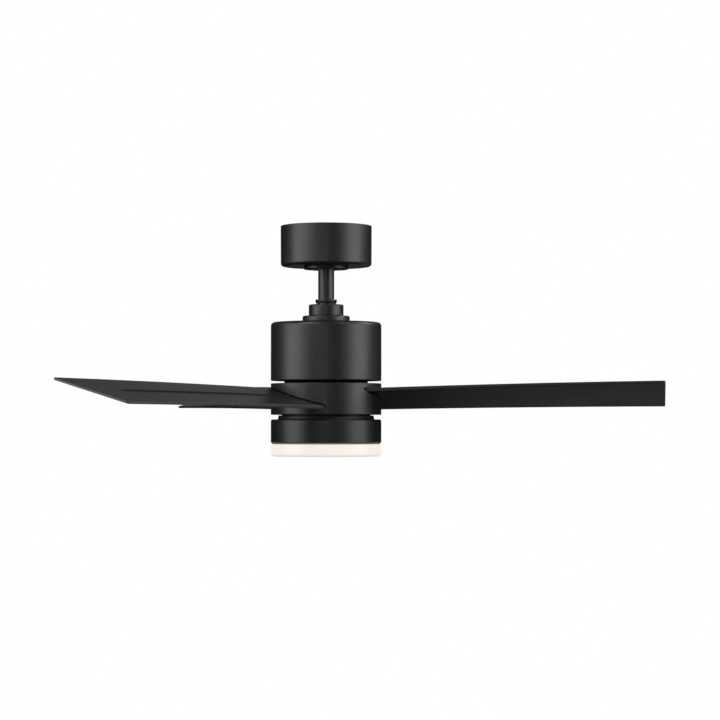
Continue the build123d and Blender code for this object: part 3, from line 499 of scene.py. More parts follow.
@dataclass(frozen=True)
class PlainMould:
    """Moulded plastic, rubber, ferrite or enamel: one colour with its own grain."""

    name: str
    colour: tuple
    roughness: float = 0.5
    grain: float = 0.6 * MM
    depth: float = 0.02 * MM
    fleck: float = 0.1
    metallic: float = 0.0
    sheen: float = 0.5

    def material(self) -> bpy.types.Material:
        """Builds the moulding."""
        shader = Shader(self.name)
        fine = shader.noise(self.grain, 3)
        cloud = shader.noise(18 * MM, 3)
        tint = shader.mix(cloud.ramp(0.3, 0.7), shade(self.colour, 0.9), shade(self.colour, 1.08))
        tint = shader.mix(fine.ramp(0.6, 0.8) * self.fleck, tint, shade(self.colour, 1.8))
        tint = shader.mix(shader.wear() * 0.25, tint, shade(self.colour, 1.6))
        return shader.surface(
            Base_Color=tint,
            Metallic=self.metallic,
            Roughness=self.roughness + (cloud - 0.5) * 0.12 + (fine - 0.5) * 0.08,
            Specular_IOR_Level=self.sheen,
            Normal=shader.bump(fine, self.depth),
        )


@dataclass(frozen=True)
class PrintedBoard:
    """Circuit board: solder mask with copper tracks and pads under it."""

    name: str
    mask: tuple
    track: tuple
    pitch: float = 2.6 * MM

    def material(self) -> bpy.types.Material:
        """Builds the board."""
        shader = Shader(self.name)
        settings = {"feature": "DISTANCE_TO_EDGE", "distance": "EUCLIDEAN"}
        flat = shader.node("ShaderNodeMapping", None, {"Vector": shader.place(), "Scale": (1, 1, 0.05)})
        inputs = {"Vector": flat.outputs[0], "Scale": 1 / (4 * self.pitch)}
        edge = Field(shader, shader.node("ShaderNodeTexVoronoi", settings, inputs).outputs["Distance"])
        tracks = edge.ramp(0.09, 0.05)
        pads = shader.cells(self.pitch).ramp(0.22, 0.16)
        tint = shader.mix(tracks, self.mask, self.track)
        tint = shader.mix(pads * 0.7, tint, rgb(0.66, 0.6, 0.42))
        return shader.surface(
            Base_Color=tint,
            Metallic=pads * 0.8,
            Roughness=0.36 + (shader.noise(5 * MM, 2) - 0.5) * 0.12,
            Normal=shader.bump(tracks + pads, 0.04 * MM),
        )


def slot_finishes() -> dict[str, object]:
    """The finish of each material slot in the record.

    Returns:
        Finish objects by slot name.
    """
    return {
        "black_paint": SatinPaint(),
        "black_aluminium": SatinPaint("satin_black_on_aluminium"),
        "blade_black": MouldedBlack(),
        "zinc_steel": PlatedSteel("zinc_plated_steel"),
        "green_paint": PlainMould("earth_green_enamel", rgb(0.04, 0.30, 0.11), 0.3),
        "lamination_steel": Laminations(),
        "copper": WoundCopper(),
        "ferrite": PlainMould("ferrite_magnet", rgb(0.07, 0.07, 0.075), 0.6, 0.4 * MM, 0.03 * MM, 0.3),
        "bearing_steel": TurnedSteel("bearing_steel", roughness=0.14),
        "cast_aluminium": CastMetal("cast_aluminium"),
        "ball_plastic": PlainMould(
            "ball_black_moulding", rgb(0.03, 0.03, 0.03), 0.28, 1.2 * MM, 0.01 * MM
        ),
        "nylon": PlainMould("natural_nylon", rgb(0.78, 0.76, 0.69), 0.42, 1.5 * MM, 0.02 * MM, 0.0),
        "module_plastic": PlainMould(
            "module_case_plastic", rgb(0.035, 0.035, 0.037), 0.5, 0.5 * MM, 0.04 * MM
        ),
        "circuit_board": PrintedBoard("drive_board", rgb(0.02, 0.16, 0.07), rgb(0.05, 0.30, 0.13)),
        "board_white": PrintedBoard("led_board_white", rgb(0.86, 0.86, 0.84), rgb(0.74, 0.74, 0.72)),
        "led_phosphor": PlainMould(
            "led_phosphor", rgb(0.95, 0.78, 0.30), 0.25, 0.3 * MM, 0.01 * MM, 0.2
        ),
        "black_rubber": PlainMould("black_rubber", rgb(0.014, 0.014, 0.014), 0.75, 0.7 * MM, 0.03 * MM),
        "opal_lens": OpalGlow(),
    }


class Finishes:
    """Makes each slot's material once and puts it on pieces."""

    # Pieces deep in the gaps get a near-black finish instead of their slot's: painted shade, so that the
    # gaps read black.
    GAP_SHADE_NODES = ("rotor_base", "lens_gasket")  # CAD nodes that lie deep in the gaps

    def __init__(self) -> None:
        """Builds every material."""
        self.made = {slot: finish.material() for slot, finish in slot_finishes().items()}
        # Near-black and almost sheenless: painted shade for the pieces deep in the gaps.
        inside = PlainMould(
            "painted_gap_shade_black", rgb(0.004, 0.004, 0.004), 0.8, 0.5 * MM, 0.03 * MM, sheen=0.06
        )
        self.inside = inside.material()
        self.slots = {part["node"]: part["material_slot"] for part in frame["record"]["subparts"]}

    def paint(self, piece: bpy.types.Object, slot: str, inside: bool = False) -> None:
        """Gives a new piece the finish of a record slot, or, deep in the gaps, the near-black finish
        that paints the shade there.
        """
        piece.data.materials.clear()
        piece.data.materials.append(self.inside if inside else self.made[slot])

    def paint_cad(self, node: str) -> None:
        """Gives a CAD node that stays in view its slot's finish, or, deep in the gaps, the near-black
        finish that paints the shade there.
        """
        shade_painted = node in self.GAP_SHADE_NODES
        for place in frame["nodes"][node].material_slots:
            place.material = self.inside if shade_painted else self.made[self.slots[node]]


# ---------------------------------------------------------------- bench tools
def link(name: str, mesh: bmesh.types.BMesh) -> bpy.types.Object:
    """Turns a bmesh into an object at the origin, smooth where its faces nearly agree.

    Args:
        name: the object's name.
        mesh: the bmesh, which is freed.

    Returns:
        The new object.
    """
    data = bpy.data.meshes.new(name)
    mesh.to_mesh(data)
    mesh.free()
    data.shade_smooth()
    data.set_sharp_from_angle(angle=math.radians(SHARP_ANGLE))
    piece = bpy.data.objects.new(name, data)
    bpy.context.scene.collection.objects.link(piece)
    return piece


def close_up(mesh: bmesh.types.BMesh) -> None:
    """Welds seams and points every face outwards."""
    bmesh.ops.remove_doubles(mesh, verts=mesh.verts, dist=WELD)
    bmesh.ops.recalc_face_normals(mesh, faces=mesh.faces)


def round_off(
    mesh: bmesh.types.BMesh, geom: list, width: float, steps: int, kind: str = "EDGES"
) -> None:
    """Rounds corners of a flat outline, or edges of a solid.

    Args:
        mesh: the shape.
        geom: its vertices or edges to round.
        width: how far the round reaches along the sides.
        steps: segments of each round.
        kind: "VERTICES" for an outline's corners, "EDGES" for a solid's edges.
    """
    bmesh.ops.bevel(
        mesh,
        geom=geom,
        offset=width,
        offset_type="OFFSET",
        segments=steps,
        profile=0.5,
        affect=kind,
        clamp_overlap=False,
        material=-1,
    )


def turn_to(mesh: bmesh.types.BMesh, azimuth: float) -> None:
    """Turns a shape about the fan's axis from +X to an azimuth in degrees."""
    turn = Matrix.Rotation(math.radians(azimuth), 3, "Z")
    bmesh.ops.rotate(mesh, verts=mesh.verts, matrix=turn)


@dataclass
class Corner:
    """A point of a turned outline, rounded off by an arc."""

    radius: float
    height: float
    round: float = 0.0
    arc_steps: int = 5


def spun(outline: list[Corner], steps: int) -> bmesh.types.BMesh:
    """Turns a closed outline about the fan's axis.

    Args:
        outline: its corners in order.
        steps: segments round the axis.

    Returns:
        The closed turned shape.
    """
    mesh = bmesh.new()
    corners = [mesh.verts.new((c.radius, 0, c.height)) for c in outline]
    mesh.faces.new(corners)
    for vert, corner in zip(corners, outline):
        if corner.round > 0:
            round_off(mesh, [vert], corner.round, corner.arc_steps, "VERTICES")
    bmesh.ops.delete(mesh, geom=mesh.faces[:], context="FACES_ONLY")
    bmesh.ops.spin(
        mesh,
        geom=mesh.verts[:] + mesh.edges[:],
        cent=(0, 0, 0),
        axis=(0, 0, 1),
        angle=FULL_TURN,
        steps=steps,
        use_merge=True,
    )
    close_up(mesh)
    return mesh


def rod(radius: float, low: Vector, high: Vector, steps: int = 24) -> bmesh.types.BMesh:
    """A plain cylinder from one point to another, used as a cutter or a shank."""
    mesh = bmesh.new()
    along = high - low
    turn = along.to_track_quat("Z", "Y").to_matrix().to_4x4()
    place = Matrix.Translation((low + high) / 2) @ turn
    bmesh.ops.create_cone(
        mesh,
        cap_ends=True,
        segments=steps,
        radius1=radius,
        radius2=radius,
        depth=along.length,
        matrix=place,
    )
    return mesh


def block(size: Vector, centre: Vector) -> bmesh.types.BMesh:
    """A sharp-edged box."""
    mesh = bmesh.new()
    place = Matrix.Translation(centre) @ Matrix.Diagonal((*size, 1))
    bmesh.ops.create_cube(mesh, size=1.0, matrix=place)
    return mesh


def joined(parts: list[bmesh.types.BMesh]) -> bmesh.types.BMesh:
    """Several shapes in one bmesh; the others are freed."""
    first, *others = parts
    for other in others:
        data = bpy.data.meshes.new("passing")
        other.to_mesh(data)
        other.free()
        first.from_mesh(data)
        bpy.data.meshes.remove(data)
    return first


def turned_copies(make: Callable[[], bmesh.types.BMesh], azimuths: Sequence[float]) -> bmesh.types.BMesh:
    """The same shape at several azimuths about the fan's axis, in degrees."""
    copies = []
    for azimuth in azimuths:
        copy = make()
        turn_to(copy, azimuth)
        copies.append(copy)
    return joined(copies)


def cut(piece: bpy.types.Object, cutter: bmesh.types.BMesh) -> None:
    """Takes a cutter's volume out of a piece."""
    tool = link("cutter", cutter)
    change = piece.modifiers.new("cut", "BOOLEAN")
    change.operation = "DIFFERENCE"
    change.solver = "EXACT"
    change.object = tool
    apply_modifiers(piece)
    bpy.data.objects.remove(tool)


def apply_modifiers(piece: bpy.types.Object) -> None:
    """Replaces a piece's mesh by what its modifiers make of it."""
    bpy.context.view_layer.update()
    graph = bpy.context.evaluated_depsgraph_get()
    data = bpy.data.meshes.new_from_object(piece.evaluated_get(graph))
    piece.modifiers.clear()
    old = piece.data
    piece.data = data
    bpy.data.meshes.remove(old)


def soften(piece: bpy.types.Object, width: float, segments: int = 2) -> None:
    """Breaks a piece's sharp edges."""
    edge = piece.modifiers.new("broken_edges", "BEVEL")
    edge.width = width
    edge.segments = segments
    edge.limit_method = "ANGLE"
    edge.angle_limit = math.radians(BROKEN_ANGLE)
    edge.use_clamp_overlap = True
    edge.harden_normals = False


def even_normals(piece: bpy.types.Object) -> None:
    """Keeps large flats flat beside small rounds."""
    normals = piece.modifiers.new("even_normals", "WEIGHTED_NORMAL")
    normals.keep_sharp = True
    normals.weight = FLAT_WEIGHT


def mark_wear(piece: bpy.types.Object) -> None:
    """Writes how sharply each vertex bulges outwards, for the finishes' edge wear."""
    mesh = bmesh.new()
    mesh.from_mesh(piece.data)
    mesh.normal_update()
    layer = mesh.verts.layers.float.new("wear")
    for edge in mesh.edges:
        if len(edge.link_faces) != 2:
            continue
        angle = edge.calc_face_angle_signed(0.0)
        if angle <= FLATTEST_WORN:
            continue
        first, second = edge.link_faces
        middle = (edge.verts[0].co + edge.verts[1].co) / 2
        along = (edge.verts[1].co - edge.verts[0].co).normalized()
        reach = 0.0
        for face in (first, second):
            away = face.calc_center_median() - middle
            reach += (away - along * away.dot(along)).length
        curvature = angle / max(reach, SHORTEST_REACH)
        share = min(1.0, max(0.0, (curvature - WEAR_BEGINS) / (WEAR_FULL - WEAR_BEGINS)))
        for vert in edge.verts:
            vert[layer] = max(vert[layer], share)
    mesh.to_mesh(piece.data)
    mesh.free()


# ---------------------------------------------------------------- sub-assemblies
@dataclass
class Bench:
    """What every sub-assembly needs: the finishes, and the steps that end a piece."""

    finishes: Finishes

    def done(
        self,
        piece: bpy.types.Object,
        body: Body,
        slot: str,
        *nodes: str,
        edge: float = 0.0,
        inside: bool = False,
    ) -> None:
        """Finishes one piece.

        Args:
            piece: the piece, with its place in its mesh.
            body: the body that it moves with.
            slot: the record's material slot.
            *nodes: CAD nodes that it stands for.
            edge: width of the broken edges, if they are still sharp.
            inside: whether it lies deep in a gap and gets the near-black finish that paints the shade
                there.
        """
        mark_wear(piece)
        if edge > 0:
            soften(piece, edge)
        even_normals(piece)
        self.finishes.paint(piece, slot, inside)
        if nodes:
            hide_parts(*nodes)
        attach(piece, body.value)
        log.info("%s rides on %s", piece.name, body.value)


def radius_of(node: str) -> float:
    """Outer radius of a turned CAD node about the fan's axis."""
    low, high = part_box(node)
    return max(high.x, -low.x)


@dataclass
class Canopy:
    """The cup against the ceiling and its trim ring, cut for the two screws between them."""

    bench: Bench
    wall: float = 1.5 * MM
    draft: float = 0.3 * MM
    foot_round: float = 5.0 * MM
    lip_round: float = 0.7 * MM
    rod_hole: float = 18.5 * MM
    ring_hole: float = 16.5 * MM
    ring_floor: float = 1.3 * MM
    ring_rim: float = 3.0 * MM
    ring_lip: float = 1.2 * MM
    slot_radius: float = 24.0 * MM
    slot_half_width: float = 2.4 * MM
    eye_radius: float = 4.4 * MM
    slot_turn: float = 20.0

    def shell(self) -> None:
        """Spun cup, open at the ceiling."""
        low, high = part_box("canopy")
        radius = radius_of("canopy")
        foot = radius - self.draft
        inner = foot - self.wall
        outline = [
            Corner(self.rod_hole, low.z, *EASED_EDGE),
            Corner(foot, low.z, self.foot_round, 9),
            Corner(radius, high.z, self.lip_round, 3),
            Corner(inner, high.z, self.lip_round, 3),
            Corner(inner, low.z + self.wall, self.foot_round - self.wall, 6),
            Corner(self.rod_hole, low.z + self.wall, *EASED_EDGE),
        ]
        piece = link("canopy_cup", spun(outline, FINE_STEPS))
        hole_low = Vector((self.slot_radius, 0, low.z - MM))
        hole_high = Vector((self.slot_radius, 0, low.z + 4 * MM))
        cut(piece, turned_copies(lambda: rod(SCREW_HOLE, hole_low, hole_high), [0, 180]))
        self.bench.done(piece, Body.CEILING, "black_paint", "canopy")

    def keyhole(self, low: float, high: float) -> bmesh.types.BMesh:
        """Cutter for one arc slot with a wide eye at its open end.

        Args:
            low: height where the cut starts.
            high: height where it ends.

        Returns:
            The cutter, its narrow end at azimuth 0.
        """
        mesh = bmesh.new()
        section = [
            mesh.verts.new((self.slot_radius + x, 0, z))
            for x, z in (
                (-self.slot_half_width, low),
                (self.slot_half_width, low),
                (self.slot_half_width, high),
                (-self.slot_half_width, high),
            )
        ]
        face = mesh.faces.new(section)
        bmesh.ops.spin(
            mesh,
            geom=[face],
            cent=(0, 0, 0),
            axis=(0, 0, 1),
            angle=-math.radians(self.slot_turn),
            steps=8,
            use_merge=False,
        )
        close_up(mesh)
        return mesh

    def eyes(self, low: float, high: float) -> bmesh.types.BMesh:
        """Cutter for the round ends of the two keyholes."""
        ends = []
        for radius, azimuth in ((self.slot_half_width, 0.0), (self.eye_radius, -self.slot_turn)):
            def end(radius: float = radius) -> bmesh.types.BMesh:
                """One round end."""
                foot = Vector((self.slot_radius, 0, low))
                return rod(radius, foot, Vector((self.slot_radius, 0, high)), 32)

            ends.append(turned_copies(end, [azimuth, azimuth + 180]))
        return joined(ends)

    def trim(self) -> None:
        """Trim ring: recessed below, keyholes over the screws."""
        low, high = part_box("canopy_ring")
        radius = radius_of("canopy_ring")
        floor_low = high.z - self.ring_floor
        outline = [
            Corner(self.ring_hole, low.z, *FINE_EDGE),
            Corner(self.ring_hole + self.ring_lip, low.z, *FINE_EDGE),
            Corner(self.ring_hole + self.ring_lip, floor_low, *EASED_EDGE),
            Corner(radius - self.ring_rim, floor_low, 1.0 * MM, 4),
            Corner(radius - self.ring_rim, low.z, 0.6 * MM, 3),
            Corner(radius, low.z, 1.5 * MM, 6),
            Corner(radius, high.z, *EASED_EDGE),
            Corner(self.ring_hole, high.z, *FINE_EDGE),
        ]
        piece = link("trim_ring_turned", spun(outline, RING_STEPS))
        cut_low, cut_high = floor_low - 2 * MM, high.z + MM
        cut(piece, turned_copies(lambda: self.keyhole(cut_low, cut_high), [0, 180]))
        cut(piece, self.eyes(cut_low, cut_high))
        self.bench.done(piece, Body.TRIM, "black_paint", "canopy_ring")

    def build(self) -> None:
        """Makes the cup and the ring."""
        self.shell()
        self.trim()


@dataclass
class Coupling:
    """Downrod, collar and the two-step cover over the joint between rod and motor."""

    bench: Bench
    wall: float = 1.5 * MM
    rod_wall: float = 2.0 * MM
    step_round: float = 2.4 * MM
    seat: float = 1.9 * MM
    skirt_lift: float = 1.75 * MM
    spigot: float = 15.5 * MM
    opening: float = 21.0 * MM
    collar_stand: float = 1.8 * MM
    cover_stand: float = 0.8 * MM
    cross_pin_hole: float = 2.55 * MM
    clevis_hole: float = 3.05 * MM

    def downrod(self) -> None:
        """Painted tube from ball to yoke."""
        low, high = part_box("downrod")
        radius = radius_of("downrod")
        inner = radius - self.rod_wall
        outline = [
            Corner(inner, low.z, *FINE_EDGE),
            Corner(radius, low.z, *EASED_EDGE),
            Corner(radius, high.z, *EASED_EDGE),
            Corner(inner, high.z, *FINE_EDGE),
        ]
        piece = link("downrod_tube", spun(outline, SMALL_STEPS))
        for node, hole in (("ball_cross_pin", self.cross_pin_hole), ("clevis_pin", self.clevis_hole)):
            pin_low, pin_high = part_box(node)
            height = (pin_low.z + pin_high.z) / 2
            reach = Vector((radius + 5 * MM, 0, 0))
            middle = Vector((0, 0, height))
            cut(piece, rod(hole, middle - reach, middle + reach))
        self.bench.done(piece, Body.HANGING, "black_paint", "downrod")

    def collar(self) -> None:
        """Small flared collar: widest near its top, tapering down."""
        low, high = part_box("rod_collar")
        radius = radius_of("rod_collar")
        inner = radius_of("downrod") + SNUG
        outline = [
            Corner(inner, low.z),
            Corner(radius - 1.5 * MM, low.z, 0.4 * MM, 3),
            Corner(radius, high.z - 2.3 * MM, 0.8 * MM, 4),
            Corner(radius - 0.7 * MM, high.z, 0.5 * MM, 4),
            Corner(inner, high.z, *FINE_EDGE),
        ]
        piece = link("flared_collar", spun(outline, SMALL_STEPS))
        self.bench.done(piece, Body.HANGING, "black_aluminium", "rod_collar")

    def upper_cup(self) -> None:
        """Upper, narrower step with the spigot that the collar stands on."""
        low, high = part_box("coupling_cover")
        collar_low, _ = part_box("rod_collar")
        roof = collar_low.z - self.collar_stand
        radius = radius_of("coupling_cover")
        inner = radius_of("downrod") + 0.2 * MM
        outline = [
            Corner(radius - self.wall, low.z, *FINE_EDGE),
            Corner(radius, low.z, 0.5 * MM, 3),
            Corner(radius, roof, self.step_round, 8),
            Corner(self.spigot, roof, *FINE_EDGE),
            Corner(self.spigot, high.z, *CRISP_EDGE),
            Corner(inner, high.z),
            Corner(inner, roof - self.wall),
            Corner(radius - self.wall, roof - self.wall, 1.0 * MM, 3),
        ]
        piece = link("coupling_cup_upper", spun(outline, SMALL_STEPS))
        self.bench.done(piece, Body.HANGING, "black_aluminium", "coupling_cover")

    def lower_cup(self) -> None:
        """Lower, wider step on the motor housing."""
        low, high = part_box("coupling_base")
        cover_low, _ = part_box("coupling_cover")
        roof = cover_low.z - self.cover_stand
        skirt = low.z + self.skirt_lift
        radius = radius_of("coupling_base")
        foot = radius - self.seat
        step = radius_of("coupling_cover") - self.wall - 0.1 * MM
        outline = [
            Corner(foot - self.wall, low.z),
            Corner(foot, low.z, *FINE_EDGE),
            Corner(foot, skirt),
            Corner(radius, skirt, 0.5 * MM, 3),
            Corner(radius, roof, self.step_round, 8),
            Corner(step, roof, *CRISP_EDGE),
            Corner(step, high.z, *CRISP_EDGE),
            Corner(self.opening, high.z),
            Corner(self.opening, roof - self.wall),
            Corner(foot - self.wall, roof - self.wall, 1.0 * MM, 3),
        ]
        piece = link("coupling_cup_lower", spun(outline, CUP_STEPS))
        self.bench.done(piece, Body.HANGING, "black_aluminium", "coupling_base")

    def build(self) -> None:
        """Makes rod, collar and both cups."""
        self.downrod()
        self.collar()
        self.upper_cup()
        self.lower_cup()


@dataclass
class MotorDrum:
    """The motor's fixed outer drum and the ring that closes it below."""

    bench: Bench
    wall: float = 1.5 * MM
    shoulder: float = 6.0 * MM
    foot_round: float = 2.2 * MM
    foot_drop: float = 1.2 * MM
    yoke_hole: float = 19.4 * MM
    screw_radius: float = 27.5 * MM
    screw_azimuths: tuple = (30, 150, 270)
    throat_gap: float = 1.6 * MM

    def drum(self) -> None:
        """Deep-drawn drum with a rounded shoulder."""
        low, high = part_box("motor_housing")
        radius = radius_of("motor_housing")
        inner = radius - self.wall
        outline = [
            Corner(inner, low.z, *EASED_EDGE),
            Corner(inner + 0.4 * MM, low.z - self.foot_drop),
            Corner(radius, low.z - self.foot_drop, self.foot_round, 6),
            Corner(radius, high.z, self.shoulder, 12),
            Corner(self.yoke_hole, high.z, *EASED_EDGE),
            Corner(self.yoke_hole, high.z - self.wall, *FINE_EDGE),
            Corner(inner, high.z - self.wall, self.shoulder - self.wall, 6),
        ]
        piece = link("motor_drum", spun(outline, FINE_STEPS))
        foot = Vector((self.screw_radius, 0, high.z - 4 * MM))
        top = Vector((self.screw_radius, 0, high.z + 2 * MM))
        cut(piece, turned_copies(lambda: rod(SCREW_HOLE, foot, top), self.screw_azimuths))
        self.bench.done(piece, Body.HANGING, "black_aluminium", "motor_housing")

    def closing_ring(self) -> None:
        """Flanged ring inside the drum's foot."""
        low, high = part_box("housing_base_ring")
        radius = radius_of("housing_base_ring")
        throat = radius_of("rotor_base") + self.throat_gap
        outline = [
            Corner(throat, low.z, 0.4 * MM, 3),
            Corner(radius, low.z, 0.5 * MM, 3),
            Corner(radius, high.z, *FINE_EDGE),
            Corner(radius - self.wall, high.z, *FINE_EDGE),
            Corner(radius - self.wall, low.z + self.wall, 0.8 * MM, 3),
            Corner(throat, low.z + self.wall, 0.4 * MM, 3),
        ]
        piece = link("drum_closing_ring", spun(outline, FINE_STEPS))
        # The ring lies deep in the gap under the drum, so it gets the near-black finish that paints the
        # shade there.
        self.bench.done(piece, Body.HANGING, "black_aluminium", "housing_base_ring", inside=True)

    def build(self) -> None:
        """Makes the drum and its ring."""
        self.drum()
        self.closing_ring()


@dataclass
class BladeShape:
    """The plate's law along its span, shared by the blades and the hub's slots."""

    azimuths: list[float] = field(default_factory=list)
    root: float = 48.0 * MM
    edge_span: float = 74.8 * MM
    tip: float = 558.8 * MM
    root_height: float = -287.3 * MM
    rise: float = 7.2 * MM
    bow: float = 1.0 * MM
    slope: tuple = (0.268, 0.243)
    high_width: tuple = (53.0 * MM, 78.2 * MM)
    low_width: tuple = (54.4 * MM, 73.8 * MM)
    thickness: tuple = (6.2 * MM, 3.8 * MM)

    def share(self, span: float) -> float:
        """0 where the blade leaves the hub, 1 at its tip."""
        return (span - self.edge_span) / (self.tip - self.edge_span)

    def at(self, pair: tuple, span: float) -> float:
        """A value that changes evenly from hub to tip."""
        return pair[0] + (pair[1] - pair[0]) * self.share(span)

    def height(self, span: float) -> float:
        """Height of the plate's middle on the span line."""
        share = self.share(span)
        return self.root_height + self.rise * share + 4 * self.bow * share * (1 - share)

    def gauge(self, span: float) -> float:
        """Thickness of the plate."""
        return min(self.thickness[0], self.at(self.thickness, span))

    def shape(self, mesh: bmesh.types.BMesh, azimuth: float) -> None:
        """Pitches, bows and thins a flat plate of root thickness, then turns it to its azimuth.

        Args:
            mesh: the flat plate along +X, with the lowered edge at +Y.
            azimuth: where it goes, in degrees.
        """
        for vert in mesh.verts:
            span, across, above = vert.co
            slope = self.at(self.slope, span)
            thin = self.gauge(span) / self.thickness[0]
            lift = above * thin * math.hypot(1, slope)
            vert.co.z = self.height(span) - across * slope + lift
        turn_to(mesh, azimuth)


@dataclass
class Blades:
    """Three moulded blades: round-edged plates with a low rib along the upper face."""

    bench: Bench
    law: BladeShape
    corner: float = 3.0 * MM
    corner_steps: int = 8
    edge_round: float = 0.9 * MM
    edge_steps: int = 3
    rib_half_width: float = 4.5 * MM
    rib_height: float = 1.8 * MM
    rib_start: float = 97.0 * MM
    rib_low_from: float = 240.0 * MM
    rib_low_share: float = 0.7
    rib_end: float = 497.0 * MM
    rib_fade: float = 20.0 * MM
    rib_fullness: float = 1.2  # power of the rib's cosine section
    rib_end_cuts: int = 8
    rib_lines: int = 6  # lines from the rib's crest to its foot
    side_lines: tuple = (-40 * MM, -20 * MM, 20 * MM, 40 * MM)
    station: float = 14.0 * MM

    def plate(self) -> bmesh.types.BMesh:
        """Flat plate with rounded tip corners and rounded edges, ready to be divided for shaping."""
        law = self.law
        mesh = bmesh.new()
        points = [
            (law.root, -law.at(law.high_width, law.root)),
            (law.tip, -law.at(law.high_width, law.tip)),
            (law.tip, law.at(law.low_width, law.tip)),
            (law.root, law.at(law.low_width, law.root)),
        ]
        half = law.thickness[0] / 2
        corners = [mesh.verts.new((x, y, -half)) for x, y in points]
        mesh.faces.new(corners)
        round_off(mesh, corners[1:3], self.corner, self.corner_steps, "VERTICES")
        raised = bmesh.ops.extrude_face_region(mesh, geom=mesh.faces[:])
        top = [g for g in raised["geom"] if isinstance(g, bmesh.types.BMVert)]
        bmesh.ops.translate(mesh, verts=top, vec=(0, 0, 2 * half))
        bmesh.ops.recalc_face_normals(mesh, faces=mesh.faces)
        flat = [e for e in mesh.edges if abs(e.verts[0].co.z - e.verts[1].co.z) < half]
        outer = [e for e in flat if max(v.co.x for v in e.verts) > law.root + MM]
        round_off(mesh, outer, self.edge_round, self.edge_steps)
        return mesh

    def divide(self, mesh: bmesh.types.BMesh) -> None:
        """Cuts the plate into stations along the span and lines across the rib."""
        law, cuts, rows = self.law, self.rib_end_cuts, self.rib_lines
        stations = int((law.tip - law.root) / self.station)
        spans = [law.root + self.station * i for i in range(1, stations)]
        spans += [self.rib_end - self.rib_fade * i / cuts for i in range(-1, cuts + 1)]
        spans += [self.rib_start - MM, self.rib_start + MM]
        lines = [self.rib_half_width * i / rows for i in range(-rows - 1, rows + 2)]
        lines += self.side_lines
        for normal, places in (((1, 0, 0), spans), ((0, 1, 0), lines)):
            for place in places:
                bmesh.ops.bisect_plane(
                    mesh,
                    geom=mesh.verts[:] + mesh.edges[:] + mesh.faces[:],
                    dist=0.01 * MM,
                    plane_co=Vector(normal) * place,
                    plane_no=normal,
                )

    def raise_rib(self, mesh: bmesh.types.BMesh) -> None:
        """Lifts the upper face along the span line into a low rib with a rounded end."""
        start = self.rib_end - self.rib_fade
        for vert in mesh.verts:
            span, across, above = vert.co
            on_top = above > self.law.thickness[0] / 2 - 0.05 * MM
            if not on_top or not self.rib_start < span < self.rib_end:
                continue
            fade = max(0.0, (span - start) / self.rib_fade)
            width = self.rib_half_width * math.sqrt(max(0.0, 1 - fade**2))
            if abs(across) < width:
                outward = max(0.0, (span - self.rib_low_from) / (start - self.rib_low_from))
                height = self.rib_height * (1 - (1 - self.rib_low_share) * outward) * (1 - fade**3)
                profile = math.cos(math.pi / 2 * across / width) ** self.rib_fullness
                # The plate is thinned afterwards, so the rib is made taller to keep its height.
                vert.co.z += height * profile * self.law.thickness[0] / self.law.gauge(span)

    def blade(self, index: int) -> None:
        """Makes one blade."""
        mesh = self.plate()
        self.divide(mesh)
        self.raise_rib(mesh)
        self.law.shape(mesh, self.law.azimuths[index])
        close_up(mesh)
        piece = link(f"blade_moulding_{index + 1}", mesh)
        self.bench.done(piece, Body.ROTOR, "blade_black", f"blade_{index + 1}")

    def build(self) -> None:
        """Makes every blade."""
        for index in range(len(self.law.azimuths)):
            self.blade(index)


